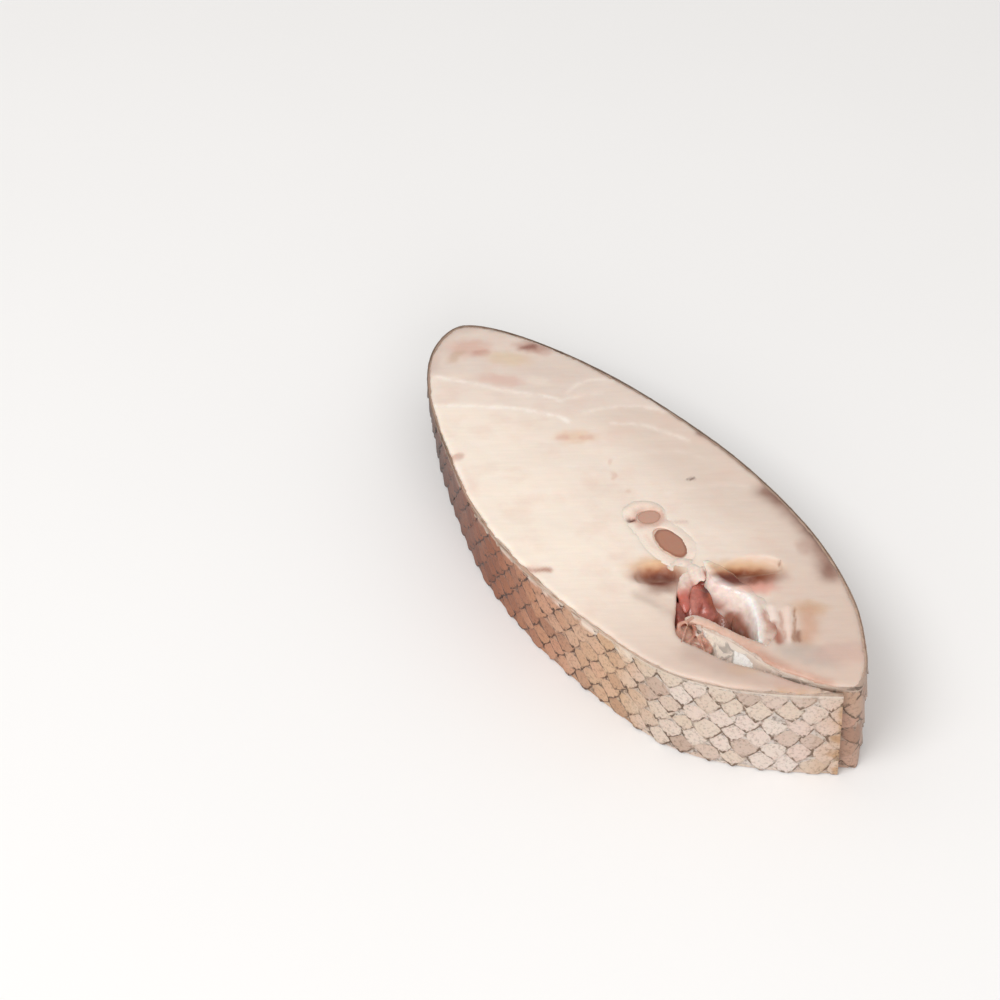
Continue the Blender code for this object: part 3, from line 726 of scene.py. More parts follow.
# Fish skin: pale and gelatinous where the knife cut it, and dark with pigment on its outer side, where it
# shows between the scales. On the left flank that dark is partly painted shade.
skin_finish, tree, shader = finish("wet_cut_fish_skin", Roughness=0.45, IOR=1.38, Subsurface_Weight=0.1,
                                   Subsurface_Scale=0.0015, Coat_Weight=0.06, Coat_Roughness=0.2)
ground, edge = pigments_and_painted_light(tree, stored(tree, "round"))
freckles = grain(tree, 1.6, 4.0, 0.7)
outside = mixed(tree, ranged(tree, freckles, 0.46, 0.62, 0.2, 0.85), ground, edge)
from_middle = maths(tree, "ABSOLUTE", maths(tree, "ADD", stored(tree, "rise"), -0.5))
cut_skin = mixed(tree, ranged(tree, from_middle, 0.474, 0.484, 0.0, 0.6), outside, linear("#d3b5a1"))
tree.links.new(cut_skin, shader.inputs["Base Color"])
relief(tree, shader, freckles, 0.6, 0.2)
hide.data.materials.append(skin_finish)
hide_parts("skin")
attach(hide, "root")


# The scales are thin horny plates, each rooted in the hide at its head end and lying over the two behind
# it. They are laid out flat in staggered rows, trimmed by the knife at both cut faces and then wrapped round.
SCALE_WIDTH = 8.6
SCALE_LENGTH = 11.6
SCALE_THICK = 0.22
SCALE_LIFT = 0.60         # top of the free edge, over the hide
SCALE_ROOT = -0.44        # top of the rooted edge, under the hide
SCALES_ROUND = 67
SCALE_ROWS = 6
SLICE = 31.0              # the sheet's height before it takes the slice's own
SCALE_CROWN = 0.14        # how far a scale's sides bend down
SCALE_OUTLINE = ((0.0, 0.12), (0.05, 0.32), (0.14, 0.56), (0.29, 0.86), (0.46, 1.0), (0.75, 0.96), (1.0, 0.8))
SCALE_ACROSS = 7

work = bmesh.new()
free_layer = work.verts.layers.float.new("free")
upper_side = []
for t, share in SCALE_OUTLINE:
    row = []
    for a in np.linspace(-1.0, 1.0, SCALE_ACROSS):
        x = 0.5 * SCALE_WIDTH * share * a
        y = SCALE_LENGTH * (t - 0.5) + 0.5 * (1 - t) * a * a
        z = SCALE_LIFT + (SCALE_ROOT - SCALE_LIFT) * t - SCALE_CROWN * a * a
        row.append(work.verts.new(Vector((x, y, z)) * MM))
    upper_side.append(row)
for one, two in zip(upper_side, upper_side[1:]):
    for k in range(SCALE_ACROSS - 1):
        work.faces.new([one[k], one[k + 1], two[k + 1], two[k]])
border = (upper_side[0] + [row[-1] for row in upper_side[1:]] + upper_side[-1][-2::-1]
          + [row[0] for row in upper_side[-2:0:-1]])
under = {v: work.verts.new(v.co - Vector((0, 0, SCALE_THICK * MM))) for v in border}
for one, two in zip(border, border[1:] + border[:1]):
    work.faces.new([one, under[one], under[two], two])
for k in range(len(upper_side) - 1):
    one, two = upper_side[k], upper_side[k + 1]
    if k == 0:
        work.faces.new([under[v] for v in reversed(one)] + [under[two[0]], under[two[-1]]])
    elif k == len(upper_side) - 2:
        work.faces.new([under[one[-1]], under[one[0]]] + [under[v] for v in two])
    else:
        work.faces.new([under[one[0]], under[two[0]], under[two[-1]], under[one[-1]]])
tip = [v.co.copy() for v in upper_side[0]] + [row[k].co.copy() for row in upper_side[:5] for k in (0, -1)]
for v in work.verts:
    v[free_layer] = min((v.co.xy - p.xy).length for p in tip) / MM
bmesh.ops.recalc_face_normals(work, faces=work.faces)
scale_mesh = bpy.data.meshes.new("one_scale")
work.to_mesh(scale_mesh)
work.free()
one_scale = new_object("one_scale", scale_mesh)

# Horn-like scales, wet: pale and half clear on the belly, ochre and brown higher up and nearly black-brown
# on the back, the left flank's browns partly painted shade. Pigment gathers at each free edge, and the shade
# of the crevice beneath it is painted in with it, so the rows show as a net of broken dark lines.
scale_finish, tree, shader = finish("wet_fish_scale", Roughness=0.46, IOR=1.36, Coat_Weight=0.06,
                                    Coat_Roughness=0.2, Subsurface_Weight=0.08, Subsurface_Scale=0.001)
way_round = stored(tree, "round")
drifted = ranged(tree, grain(tree, 7.0, 3.0), 0.3, 0.7, -0.006, 0.006)
ground, edge = pigments_and_painted_light(tree, maths(tree, "ADD", way_round, drifted))
tone = stored(tree, "tone")
cast = colour_ramp(tree, tone, (
    (0.0, "#d6c4ba"), (0.2, "#f0e4dc"), (0.4, "#f3e9dd"), (0.6, "#fbf6f2"), (0.8, "#f7e8e2"),
    (1.0, "#ffffff"),
))
varied = mixed(tree, 1.0, ground, cast, "MULTIPLY")
mottle = grain(tree, 0.9, 4.0, 0.7)
spotted = mixed(tree, ranged(tree, mottle, 0.50, 0.68, 0.0, 0.5), varied, edge)
# The dark band along each free edge: pigment, with the crevice's shade painted in.
reach = maths(tree, "MULTIPLY_ADD", grain(tree, 1.1, 3.0), 1.9, stored(tree, "free"))
outline = ranged(tree, reach, 1.36, 1.78, 0.95, 0.0)
broken = ranged(tree, grain(tree, 4.0, 2.0), 0.40, 0.52, 0.15, 1.0)
edged = mixed(tree, maths(tree, "MULTIPLY", outline, broken), spotted, edge)
rise = stored(tree, "rise")
at_knife = ranged(tree, maths(tree, "MULTIPLY_ADD", tone, 0.12, rise), 1.01, 1.05, 0.0, 0.7)
left_flank = colour_ramp(tree, way_round, (
    (0.10, "#000000"), (0.14, "#ffffff"), (0.25, "#ffffff"), (0.32, "#000000"),
))
bare = maths(tree, "MULTIPLY", at_knife, maths(tree, "MULTIPLY", broken, left_flank))
cut_edge = mixed(tree, bare, edged, linear("#ecdccf"))
rim_colour = colour_ramp(tree, way_round, (
    (0.0, "#d9c8ba"), (0.12, "#d3bfae"), (0.3, "#a8927f"), (0.6, "#9c8c82"), (0.905, "#b7a294"),
    (0.925, "#ecd9c9"),
))
sawn = mixed(tree, ranged(tree, rise, 0.97, 0.992, 0.0, 0.7), cut_edge, rim_colour)
tree.links.new(sawn, shader.inputs["Base Color"])
relief(tree, shader, mottle, 0.5, 0.14)

tree = bpy.data.node_groups.new("staggered_scales", "GeometryNodeTree")
tree.interface.new_socket(name="Scales", in_out="OUTPUT", socket_type="NodeSocketGeometry")
inputs = {
    "Scale": ("NodeSocketObject", one_scale), "Finish": ("NodeSocketMaterial", scale_finish),
    "Columns": ("NodeSocketInt", SCALES_ROUND + 3), "Rows": ("NodeSocketInt", SCALE_ROWS + 3),
    "Column pitch": ("NodeSocketFloat", HIDE_LENGTH / SCALES_ROUND * MM),
    "Row pitch": ("NodeSocketFloat", SLICE / SCALE_ROWS * MM), "Seed": ("NodeSocketInt", 4),
    "Stray": ("NodeSocketFloat", 0.5 * MM), "Twist": ("NodeSocketFloat", math.radians(10.0)),
    "Unevenness": ("NodeSocketFloat", 0.09),
}
for name, (kind, _) in inputs.items():
    tree.interface.new_socket(name=name, in_out="INPUT", socket_type=kind)
given = add(tree, "NodeGroupInput").outputs


def seed(step):
    """The group's seed, moved on by some steps."""
    return maths(tree, "ADD", given["Seed"], step)


def random_vector(step, reach, size):
    """A random vector for each scale, up to its reach either way, times a size."""
    drawn = add(tree, "FunctionNodeRandomValue", {
        0: tuple(-r for r in reach), 1: reach, "Seed": seed(step),
    }, data_type="FLOAT_VECTOR")
    sized = add(tree, "ShaderNodeVectorMath", {0: drawn.outputs[0], "Scale": size}, operation="SCALE")
    return sized.outputs[0]


sheet = add(tree, "GeometryNodeMeshGrid", {
    "Size X": maths(tree, "MULTIPLY", maths(tree, "ADD", given["Columns"], -1.0), given["Column pitch"]),
    "Size Y": maths(tree, "MULTIPLY", maths(tree, "ADD", given["Rows"], -1.0), given["Row pitch"]),
    "Vertices X": given["Columns"], "Vertices Y": given["Rows"],
})
row = maths(tree, "MODULO", add(tree, "GeometryNodeInputIndex").outputs[0], given["Rows"])
half_pitch = maths(tree, "MULTIPLY", given["Column pitch"], 0.5)
offset = maths(tree, "MULTIPLY", maths(tree, "MODULO", row, 2.0), half_pitch)
stagger = add(tree, "ShaderNodeCombineXYZ", {"X": offset}).outputs[0]
stray = random_vector(0.0, (1.0, 1.0, 0.12), given["Stray"])
moved = add(tree, "ShaderNodeVectorMath", {0: stagger, 1: stray}, operation="ADD").outputs[0]
placed = add(tree, "GeometryNodeSetPosition", {"Geometry": sheet.outputs["Mesh"], "Offset": moved})
plate = add(tree, "GeometryNodeObjectInfo", {"Object": given["Scale"]})
twist = random_vector(1.0, (0.1, 0.2, 1.0), given["Twist"])
uneven = random_vector(2.0, (1.0, 1.0, 0.0), given["Unevenness"])
grown = add(tree, "ShaderNodeVectorMath", {0: uneven, 1: (1.0, 1.0, 1.0)}, operation="ADD").outputs[0]
scattered = add(tree, "GeometryNodeInstanceOnPoints", {
    "Points": placed.outputs["Geometry"], "Instance": plate.outputs["Geometry"],
    "Rotation": twist, "Scale": grown,
})
shades = add(tree, "FunctionNodeRandomValue", {2: 0.0, 3: 1.0, "Seed": seed(3.0)}, data_type="FLOAT")
toned = add(tree, "GeometryNodeStoreNamedAttribute", {
    "Geometry": scattered.outputs["Instances"], "Name": "tone", "Value": shades.outputs[1],
}, data_type="FLOAT", domain="INSTANCE")
real = add(tree, "GeometryNodeRealizeInstances", {"Geometry": toned.outputs["Geometry"]})
dressed = add(tree, "GeometryNodeSetMaterial", {
    "Geometry": real.outputs["Geometry"], "Material": given["Finish"],
})
add(tree, "NodeGroupOutput", {"Scales": dressed.outputs["Geometry"]})

scales = new_object("scales", bpy.data.meshes.new("scales"))
rows = scales.modifiers.new("staggered_scales", "NODES")
rows.node_group = tree
for item in tree.interface.items_tree:
    if item.in_out == "INPUT":
        rows[item.identifier] = inputs[item.name][1]
bpy.context.view_layer.update()
scale_sheet = bpy.data.meshes.new_from_object(scales.evaluated_get(bpy.context.evaluated_depsgraph_get()))
scales.modifiers.clear()
bpy.data.objects.remove(one_scale)

work = bmesh.new()
work.from_mesh(scale_sheet)
bmesh.ops.translate(work, verts=work.verts, vec=(0.5 * HIDE_LENGTH * MM, 0.5 * SLICE * MM, 0.0))
for place, outward in (
    ((0, 0, 0), (0, -1, 0)), ((0, SLICE, 0), (0, 1, 0)),
    ((0, 0, 0), (-1, 0, 0)), ((HIDE_LENGTH, 0, 0), (1, 0, 0)),
):
    everything = work.verts[:] + work.edges[:] + work.faces[:]
    cut = bmesh.ops.bisect_plane(work, geom=everything, plane_co=Vector(place) * MM, plane_no=outward,
                                 dist=1e-6, clear_outer=True)
    lips = [e for e in cut["geom_cut"] if isinstance(e, bmesh.types.BMEdge)]
    bmesh.ops.holes_fill(work, edges=lips, sides=0)
bmesh.ops.triangulate(work, faces=[f for f in work.faces if len(f.verts) > 4])
work.to_mesh(scale_sheet)
work.free()
scale_sheet.name = "scales"
scales.data = scale_sheet
spots = places(scale_sheet)
tones = np.empty(len(spots), np.float32)
scale_sheet.attributes["tone"].data.foreach_get("value", tones)
u, v, h = spots[:, 0], spots[:, 1] / SLICE, spots[:, 2]
way = u / HIDE_LENGTH
# Along the left flank the knife left the rim's scales ragged. They lie flat along the rest of the rim.
ragged = fade(0.9, 1.0, v) * fade(0.12, 0.17, way) * fade(0.34, 0.28, way)
v = v + ragged * (tones - 0.6) * 0.04
h = h + ragged * (tones - 0.3) * 0.4
h = h * (1.0 - 0.9 * fade(0.84, 0.97, v) * (fade(0.30, 0.38, way) + fade(0.17, 0.12, way)))
lay(scale_sheet, wrapped(u, v, h + HIDE))
store(scale_sheet, "round", way)
store(scale_sheet, "rise", v)
scale_sheet.shade_smooth()
scale_sheet.set_sharp_from_angle(angle=math.radians(50.0))
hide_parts("skin")
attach(scales, "root")


# The backbone is one vertebra, sawn through: a ring of pale bone round its soft core, with the arch over
# the nerve cord. It is as pale as the flesh and flush with it, so only the arch's knob stands out.
BONE_GRAIN = 0.42
BONE_SPREAD = 0.9         # the bone's gristle feathers out this far over the flesh round it
CORE_MIDDLE = (0.4, -22.1)
CORE_HOLE = (4.6, 8.0)
CORD_MIDDLE = (2.2, -10.3)
CORD_HOLE = (4.4, 3.7)
PIT = ((-2.7, -8.1), (0.9, 0.7), -30)
BONE_PATCHES = (
    ((0.4, -22.1), (5.2, 8.6), 4, "#ecd2c0", 0.45),
    ((2.4, -10.6), (4.9, 4.2), -24, "#cfa08d", 0.8),
    ((-2.6, -8.2), (1.7, 1.4), -30, "#cf9c8a", 0.8),
    (*PIT, "#502a20", 0.95),
    ((-1.8, -30.2), (4.2, 1.8), -30, "#e2c3b6", 0.7),
)
BONE_LINES = (
    (((-1.4, -4.4), (1.4, -4.2), (4.0, -4.9), (5.6, -6.6), (6.4, -9.4)), 1.15, "#f0d9c8", 0.8, 0.5),
    (((-1.6, -14.0), (1.6, -15.4), (5.4, -15.4)), 0.9, "#f1dacd", 0.7, 0.15),
    (((4.6, -13.6), (8.8, -18.2)), 0.6, "#cfaea2", 0.5, -0.06),
    (((-3.6, -15.8), (-4.2, -20.6), (-3.9, -26.0), (-2.0, -29.6)), 0.7, "#e9c9b8", 0.4, 0.0),
)
bone = cad_copy("vertebra", "backbone")
fuse(bone, BONE_GRAIN)
spots = places(bone.data)
flat, s = upright(spots)
rim, outward = walls_of(bone.data, flat, s)
depth = height(spots[:, 1]) - spots[:, 2]
to_core, to_cord = flat - np.array(CORE_MIDDLE), flat - np.array(CORD_MIDDLE)
nearer = np.hypot(*(to_core / CORE_HOLE).T) < np.hypot(*(to_cord / CORD_HOLE).T)
facing_out = np.sum(np.where(nearer[:, None], to_core, to_cord) * outward, axis=1) > 0.0
from_face = np.minimum(depth, spots[:, 2])
beyond = facing_out * fade(1.8, 0.1, rim) * fade(1.6, 0.4, from_face)
spots[:, :2] += outward * (BONE_SPREAD * beyond)[:, None]
spots[:, 2] = np.where(depth < 0.5, height(spots[:, 1]), np.where(spots[:, 2] < 0.5, 0.0, spots[:, 2]))
spots = relaxed(bone.data, spots, 4, np.full(len(spots), 0.4))
flat, s = upright(spots)
lift = 0.02 - 0.2 * beyond + sagging(flat, s) + relief_of(flat, BONE_LINES)
lift += 0.08 * ripple(spots, 2.6, 4.0) - 0.9 * patch(flat, *PIT)
lift -= 1.2 * fade(-28.5, -32.5, flat[:, 1])
spots[:, 2] += fade(2.0, 0.3, depth) * lift
lay(bone.data, spots)
tint = painted(flat, muscle_colour(flat, s), BONE_PATCHES, BONE_LINES)
feather = (beyond * fade(0.6, 0.2, depth))[:, None]
store(bone.data, "tint", tint + feather * (0.94 * muscle_colour(flat, s) - tint))
bone.data.shade_smooth()

# Fresh bone and gristle: cream, slightly see-through and wet, with a fine sponge of pores where it is cut.
bone_finish, tree, shader = finish("fresh_cut_bone", Roughness=0.44, IOR=1.39, Subsurface_Weight=0.12,
                                   Subsurface_Scale=0.0015, Coat_Weight=0.12, Coat_Roughness=0.2)
where = add(tree, "ShaderNodeTexCoord").outputs["Object"]
pores = add(tree, "ShaderNodeTexVoronoi", {"Scale": 1.0 / (0.7 * MM), "Vector": where}).outputs["Distance"]
pored = ranged(tree, pores, 0.0, 0.5, 0.95, 1.01)
bony = mixed(tree, 1.0, stored(tree, "tint", "Color"), pored, "MULTIPLY")
tree.links.new(bony, shader.inputs["Base Color"])
relief(tree, shader, pores, 0.3, 0.1)
bone.data.materials.clear()
bone.data.materials.append(bone_finish)
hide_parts("vertebra")
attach(bone, "root")


# The core of the backbone is an oval plug of brown jelly-like cartilage, and the nerve cord is a smaller
# plug of soft tissue in the arch. Both fill their holes and lie flush with the cut faces.
PLUGS = (
    {"name": "bone_core", "node": "marrow", "middle": CORE_MIDDLE, "radii": (3.8, 7.2), "turn": -4.0,
     "sunk": 0.0, "centre": "#b3806a", "edge": "#94624c", "rim": "#dcbba8", "finish": "brown_bone_jelly"},
    {"name": "nerve_cord", "node": "spinal_cord", "middle": CORD_MIDDLE, "radii": (3.8, 3.0), "turn": -24.0,
     "sunk": 0.12, "centre": "#c59b88", "edge": "#b88c7a", "rim": "#dcb9a9", "finish": "soft_nerve_tissue"},
)
PLUG_RINGS = 14
PLUG_AROUND = 56
shares = (np.arange(PLUG_RINGS) + 0.6) / (PLUG_RINGS - 0.4)
for plug in PLUGS:
    turn = math.radians(plug["turn"])
    angles = np.linspace(0.0, 2 * math.pi, PLUG_AROUND, endpoint=False)
    oval = np.c_[np.cos(angles) * plug["radii"][0], np.sin(angles) * plug["radii"][1]]
    oval = oval @ np.array(((math.cos(turn), math.sin(turn)), (-math.sin(turn), math.cos(turn))))
    rings = []
    for on_top, around in ((False, shares), (True, shares[::-1])):
        for share in around:
            flat = np.array(plug["middle"]) + oval * share
            tall = height(flat[:, 1])
            sunk = plug["sunk"] + 0.4 * share ** 9
            s = 1.0 + (sagging(flat, np.ones(PLUG_AROUND)) + 0.04 - sunk) / tall if on_top else sunk / tall
            rings.append(leaning(flat, s))
    piece = loft(plug["name"], np.array(rings))
    store(piece.data, "outward", np.repeat(np.r_[shares, shares[::-1]], PLUG_AROUND))
    # Wet cartilage, smooth from the knife and a little glassy: brown in the middle, paler at its rim.
    plug_finish, tree, shader = finish(plug["finish"], Roughness=0.32, IOR=1.4, Subsurface_Weight=0.35,
                                       Subsurface_Scale=0.002, Coat_Weight=0.2, Coat_Roughness=0.12)
    cloud = grain(tree, 2.4, 3.0)
    stirred = maths(tree, "MULTIPLY_ADD", cloud, 0.22, stored(tree, "outward"))
    jelly = colour_ramp(tree, stirred, (
        (0.3, plug["centre"]), (0.78, plug["centre"]), (0.94, plug["edge"]), (1.05, plug["rim"]),
    ))
    tree.links.new(jelly, shader.inputs["Base Color"])
    relief(tree, shader, cloud, 0.3, 0.15)
    piece.data.materials.append(plug_finish)
    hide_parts(plug["node"])
    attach(piece, "root")


# The kidney is a soft dark red organ under the backbone. The knife tore it into wet lumps, with a dark
# crevice between them and the cavity's wall. The darker red further down, in that crevice and in the gap at
# its left is painted shade over its own dark red.
KIDNEY_GRAIN = 0.3
KIDNEY_LUMPS = (
    ((-5.4, -39.0, 4.0), (2.4, 5.4, 2.4), -36), ((-3.2, -40.6, 5.4), (2.0, 5.0, 2.6), -30),
    ((-8.4, -40.8, 5.2), (2.6, 4.8, 3.0), -34), ((-5.2, -44.0, 8.0), (3.2, 4.4, 3.6), -10),
    ((-0.2, -38.2, 6.0), (2.0, 5.0, 3.0), -32), ((-8.2, -45.4, 8.6), (3.6, 3.6, 3.2), 0),
    ((-11.6, -41.0, 6.4), (2.6, 5.0, 3.2), -34), ((-12.6, -46.4, 7.6), (3.2, 4.4, 3.2), -30),
    ((-2.4, -46.6, 10.0), (3.4, 4.4, 3.4), -20), ((0.8, -36.2, 4.4), (1.5, 3.2, 2.4), -36),
    ((-13.2, -42.6, 5.0), (1.8, 5.6, 3.0), -32), ((0.9, -35.4, 2.8), (2.0, 3.0, 2.0), -34),
    ((-13.9, -42.2, 4.2), (1.4, 5.2, 2.4), -32),
)


def lumps(name, ovals, step):
    """Soft lumps grown together, meshed in even steps. Each has its middle on the cut face and its depth,
    its radii and its turn."""
    work = bmesh.new()
    for (x, y, deep), radii, turn in ovals:
        ball = bmesh.ops.create_icosphere(work, subdivisions=3, radius=1.0)["verts"]
        c, s = math.cos(math.radians(turn)), math.sin(math.radians(turn))
        where = leaning(np.array([[x, y]]), np.array([1.0 - deep / height(y)]))[0]
        for v in ball:
            a, b, z = v.co.x * radii[0], v.co.y * radii[1], v.co.z * radii[2]
            v.co = Vector((where[0] + c * a - s * b, where[1] + s * a + c * b, where[2] + z)) * MM
    mesh = bpy.data.meshes.new(name)
    work.to_mesh(mesh)
    work.free()
    made = new_object(name, mesh)
    fuse(made, step)
    return made


def roughened(obj, rounds, coarse, fine):
    """Relaxes a lumpy piece, gives its surface uneven bumps, and says where its vertices now are."""
    mesh = obj.data
    spots = places(mesh)
    spots = relaxed(mesh, spots, rounds, np.full(len(spots), 0.5))
    spots += directions(mesh) * (coarse * ripple(spots, 3.4, 7.0) + fine * ripple(spots, 0.9, 2.0))[:, None]
    lay(mesh, spots)
    mesh.shade_smooth()
    flat, _ = upright(spots)
    return flat, height(spots[:, 1]) - spots[:, 2]


def wet_tissue(name, clear, light, dark, clot, **surface):
    """Soft wet tissue: how much light it lets in, the shares of its tint that it is mottled with, the size
    of the mottling, and its gloss."""
    made, tree, shader = finish(name, IOR=1.4, Subsurface_Weight=clear, Subsurface_Scale=0.0018, **surface)
    clots = grain(tree, clot, 4.0, 0.6)
    clotted = ranged(tree, clots, 0.35, 0.7, dark, light)
    tinted = mixed(tree, 1.0, stored(tree, "tint", "Color"), clotted, "MULTIPLY")
    tree.links.new(tinted, shader.inputs["Base Color"])
    relief(tree, shader, clots, 0.5, 0.22)
    return made


kidney = lumps("kidney_lumps", KIDNEY_LUMPS, KIDNEY_GRAIN)
flat, depth = roughened(kidney, 12, 0.4, 0.07)
tint = plain("#bd6a5c", len(flat))
# Painted shade: the kidney is darker further down, in the crevice at its right and in the gap at its left.
tint = blend(tint, fade(5.0, 10.0, depth), "#6a2018")
tint = painted(flat, tint, (
    ((-0.8, -39.2), (1.9, 6.4), -32, "#5a120a", 0.9),
    ((-1.0, -43.6), (2.6, 2.0), -36, "#b8643f", 0.75),
    ((-1.8, -48.4), (3.6, 3.2), 0, "#a87462", 0.8),
    ((-12.2, -42.6), (1.8, 5.8), -32, "#8f4536", 0.85),
), (
    (((-5.4, -36.6), (-8.2, -41.6), (-10.0, -45.0)), 1.3, "#d08a7c", 0.7, 0.0),
))
store(kidney.data, "tint", tint)
# Kidney and clotted blood: dark red, smooth and very wet, a little clear at its thin edges.
kidney.data.materials.clear()
kidney.data.materials.append(wet_tissue("wet_kidney", 0.2, 1.15, 0.7, 1.8, Roughness=0.25, Coat_Weight=0.5,
                                        Coat_Roughness=0.1))
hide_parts("kidney")
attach(kidney, "root")


# A torn, whitish piece of the cavity's membrane hangs in folds from below the backbone onto the kidney.
FOLD_GRAIN = 0.28
MEMBRANE_FOLDS = (
    ((-2.0, -30.6, 0.8), (5.0, 2.8, 0.9), -34), ((-1.6, -34.0, 1.1), (2.2, 4.6, 1.3), -36),
    ((-4.4, -33.8, 1.4), (2.6, 4.6, 1.4), -36), ((-7.0, -36.0, 2.0), (2.3, 5.0, 1.6), -38),
    ((1.2, -34.6, 1.4), (1.1, 4.2, 1.1), -38), ((-9.4, -39.6, 2.9), (1.7, 4.6, 1.4), -36),
)
folds = lumps("torn_membrane", MEMBRANE_FOLDS, FOLD_GRAIN)
flat, depth = roughened(folds, 8, 0.28, 0.04)
tint = plain("#e9cabd", len(flat))
tint = blend(tint, fade(2.6, 4.8, depth), "#cc8e80")
tint = blend(tint, fade(-38.5, -43.0, flat[:, 1] + 0.4 * flat[:, 0]), "#c56d5f")
tint = painted(flat, tint, (
    ((-6.8, -35.4), (2.4, 1.6), -40, "#d0a092", 0.6),
), (
    # A painted highlight: a white streak along the folds' crest.
    (((0.4, -32.0), (-1.4, -35.6), (-3.4, -39.4)), 0.9, "#fdf0e4", 0.9, 0.0),
    (((-2.6, -32.0), (-4.6, -37.0), (-6.6, -41.0)), 0.6, "#c98f82", 0.7, 0.0),
    (((1.6, -34.0), (0.0, -37.4), (-1.4, -40.4)), 0.4, "#8a4a38", 0.8, 0.0),
))
on_face = 0.75 * fade(0.6, 0.1, depth)
tint += on_face[:, None] * (muscle_colour(flat, depth) - tint)
store(folds.data, "tint", tint)
# Loose wet membrane: whitish pink and glossy, with redder creases and a painted highlight along its crest.
folds.data.materials.clear()
folds.data.materials.append(wet_tissue("loose_wet_membrane", 0.4, 1.05, 0.88, 1.6, Roughness=0.28,
                                       Coat_Weight=0.4, Coat_Roughness=0.1))
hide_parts("cavity_lining")
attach(folds, "root")


# Where the tucked flap ends, a bed of torn flesh with loose fibres on it bridges the gap to the left flap.
FIBRE_GRAIN = 0.25
TORN_BED = (
    ((-18.0, -50.4, 3.6), (3.4, 5.0, 2.2), -36), ((-15.6, -54.4, 3.8), (2.6, 4.2, 2.0), -36),
    ((-19.4, -56.0, 3.2), (2.0, 3.6, 2.0), -30), ((-20.4, -50.0, 3.4), (2.0, 5.4, 2.2), -20),
)
# Each fibre: the places on the cut face and the depths that it runs through, and its half thickness.
FIBRES = (
    (((-13.2, -47.4, 0.2), (-15.4, -47.4, 0.1), (-17.3, -46.9, 0.5), (-17.9, -48.0, 1.6),
      (-16.6, -49.2, 2.3)), 0.6),
    (((-15.4, -48.2, 0.5), (-17.6, -49.6, 0.9), (-19.6, -51.2, 0.6), (-21.0, -52.2, 0.3)), 0.42),
    (((-14.6, -49.0, 0.4), (-16.2, -51.6, 1.3), (-18.6, -52.6, 1.4), (-20.4, -54.6, 0.5)), 0.4),
    (((-13.8, -49.4, 0.5), (-15.4, -51.6, 0.7), (-16.6, -54.2, 0.9), (-17.2, -56.2, 0.7)), 0.38),
    (((-12.8, -50.8, 0.4), (-14.4, -53.0, 0.9), (-15.2, -55.4, 1.4)), 0.4),
    (((-16.8, -50.6, 1.9), (-18.0, -53.8, 2.4), (-20.0, -56.6, 1.8), (-20.6, -58.4, 0.6)), 0.45),
    (((-15.2, -52.6, 0.9), (-16.6, -55.4, 1.2), (-18.2, -58.2, 0.5)), 0.36),
)
strands = list(TORN_BED)
for line, thick in FIBRES:
    strands += [(tuple(place), (thick, thick, 0.8 * thick), 0) for place in smooth_cubic(line, 0.6)]
fibres = lumps("torn_fibres", strands, FIBRE_GRAIN)
flat, depth = roughened(fibres, 5, 0.2, 0.05)
tint = plain("#cf9f8b", len(flat))
tint = blend(tint, 0.8 * fade(0.2, 0.8, ripple(np.c_[flat, depth], 2.2, 4.0)), "#f1e0d3")
tint = blend(tint, 0.8 * fade(0.2, 0.8, ripple(np.c_[flat, depth], 2.6, 12.0)), "#a86a56")
tint = painted(flat, tint, (), (
    (((-18.6, -46.6), (-20.2, -51.0), (-21.4, -55.0)), 1.5, "#c08a76", 0.7, 0.0),
))
store(fibres.data, "tint", tint)
# Torn wet muscle fibre: pinkish brown with white threads.
fibres.data.materials.clear()
fibres.data.materials.append(wet_tissue("torn_wet_fibre", 0.3, 1.05, 0.85, 1.0, Roughness=0.35,
                                        Coat_Weight=0.25, Coat_Roughness=0.15))
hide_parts("flesh")
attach(fibres, "root")


# The lining is the thin shiny membrane that covered the cavity. It hangs down the right wall in a bulge,
# laps over the wall's edge and ends in a torn white lip on the cut face, with a painted highlight on its
# crest.
LINING_CREST = (
    (2.7, -32.6), (1.5, -36.3), (0.6, -40.2), (2.0, -45.4), (3.4, -50.8), (0.6, -57.0), (-4.9, -64.3),
)
LINING_EDGE = (
    (4.0, -33.4), (5.6, -37.2), (6.2, -44.5), (6.7, -51.5), (4.9, -58.9), (1.2, -64.6), (-4.4, -67.2),
)
# Its section: how far it stands into the cavity, or as a share from the crest over to the edge, and how deep.
LINING_PROFILE = (
    (-2.6, 26.0), (-4.6, 20.0), (-5.6, 15.0), (-6.0, 11.0), (-5.6, 8.0), (-4.6, 5.6), (-3.2, 3.6),
    (-1.9, 1.9), (-0.8, 0.6), (0.0, -0.05), (0.5, -0.12), (0.9, -0.1), (1.0, 0.4), (0.9, 2.6), (0.6, 4.0),
    (0.3, 8.0), (0.2, 14.0), (0.2, 26.0),
)
crest = smooth_cubic(LINING_CREST, 0.35)
steps = np.linspace(0.0, 1.0, len(crest))
edge = smooth_cubic(LINING_EDGE, 0.1)
along_edge = np.linspace(0.0, 1.0, len(edge))
edge = np.c_[np.interp(steps, along_edge, edge[:, 0]), np.interp(steps, along_edge, edge[:, 1])]
runs = np.gradient(crest, axis=0)
runs /= np.linalg.norm(runs, axis=1)[:, None]
profile = smooth_cubic(LINING_PROFILE, 0.4)
rings = []
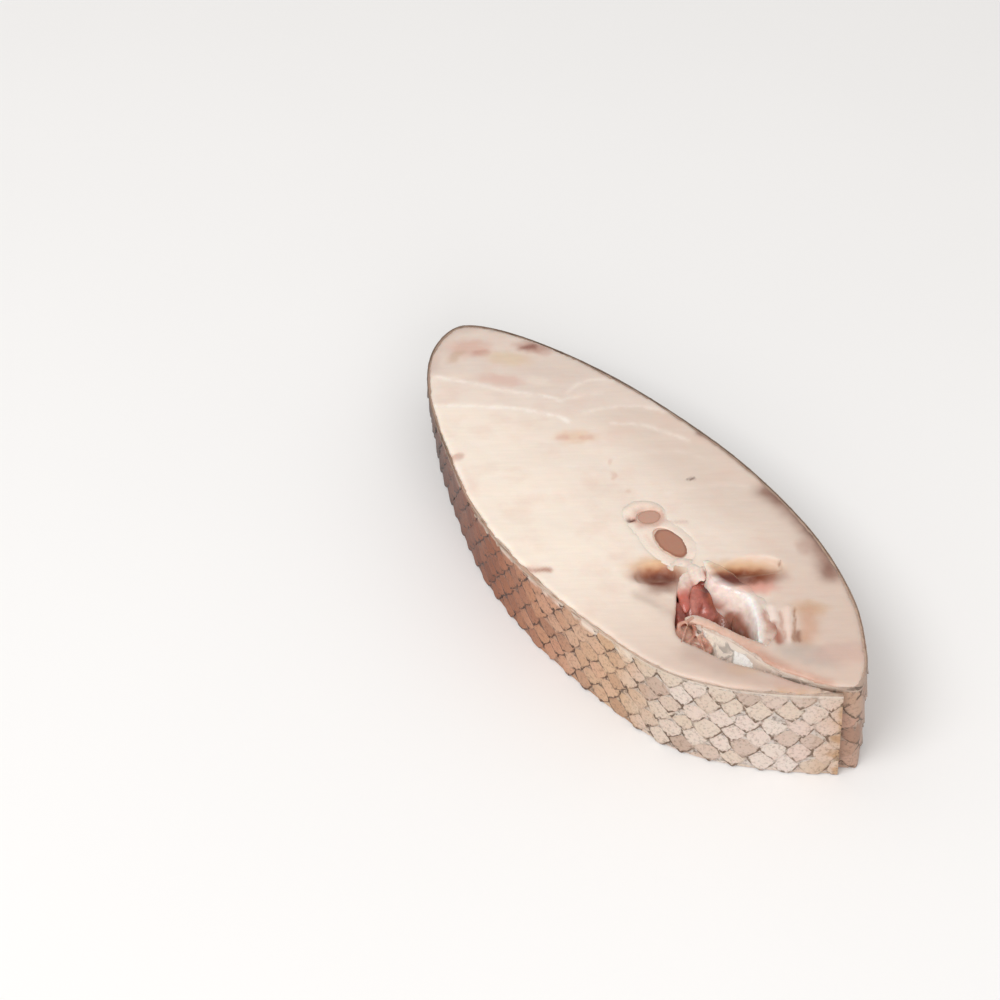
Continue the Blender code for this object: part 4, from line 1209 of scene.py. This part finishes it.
for share, place, run, end in zip(steps, crest, runs, edge):
    bulge = 0.25 + 0.75 * fade(0.02, 0.3, share) * fade(1.0, 0.55, share)
    into = np.minimum(profile[:, 0], 0.0) * bulge
    into += 0.5 * noise.noise((share * 9.0, 0.0, 3.0)) * np.exp(-((profile[:, 1] - 5.0) / 5.0) ** 2)
    over = np.maximum(profile[:, 0], 0.0)
    flat = place + into[:, None] * np.array((-run[1], run[0])) + over[:, None] * (end - place)
    rings.append(leaning(flat, 1.0 - profile[:, 1] / height(flat[:, 1])))
lining = loft("belly_lining", np.array(rings))
spots = places(lining.data)
spots += 0.2 * ripple(spots, 2.2, 6.0)[:, None] * np.array((0.7, 0.5, 0.5))
lay(lining.data, spots)
flat, s = upright(spots)
depth = height(spots[:, 1]) - spots[:, 2]
tint = plain("#f4e2d8", len(spots))
tint = blend(tint, 0.6 * fade(1.0, 4.0, depth), "#e6cdc3")
# Further down the membrane is painted brown: partly its own colour, partly painted shade.
tint = blend(tint, 0.95 * fade(2.2, 5.6, depth), "#a8705c")
tint = blend(tint, 0.6 * fade(0.2, 0.7, ripple(np.c_[flat, depth], 5.0, 3.0)), "#f6e3d9")
tint = blend(tint, 0.45 * fade(0.2, 0.7, ripple(np.c_[flat, depth], 3.6, 9.0)), "#cfb0a8")
on_face = fade(0.5, 0.1, depth)
bare = stained_and_shaded(spots, flat, painted(flat, muscle_colour(flat, s), FLESH_PATCHES, FLESH_LINES))
tint += on_face[:, None] * (bare - tint)
tint = painted(flat, tint, (), (
    # A painted highlight: the white streak along the lower part of the crest.
    (((3.2, -48.6), (3.2, -51.4), (0.6, -57.0), (-3.0, -62.0), (-4.9, -64.3)), 1.1, "#fffaf6", 0.9, 0.0),
    (((2.7, -33.0), (1.5, -36.3), (0.7, -40.2)), 0.8, "#fbeadd", 0.85, 0.0),
    (((0.7, -40.2), (2.0, -45.4), (3.2, -50.0)), 0.8, "#e9dad6", 0.6, 0.0),
))
store(lining.data, "tint", tint)
# Peritoneum: a glassy film over muscle, with a silvery gloss, white at its torn lip with a painted highlight
# along its crest, and brown far down, partly as painted shade.
lining.data.materials.append(wet_tissue("shiny_cavity_membrane", 0.4, 1.06, 0.9, 2.0, Roughness=0.25,
                                        Coat_Weight=0.6, Coat_Roughness=0.08))
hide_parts("cavity_lining")
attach(lining, "root")
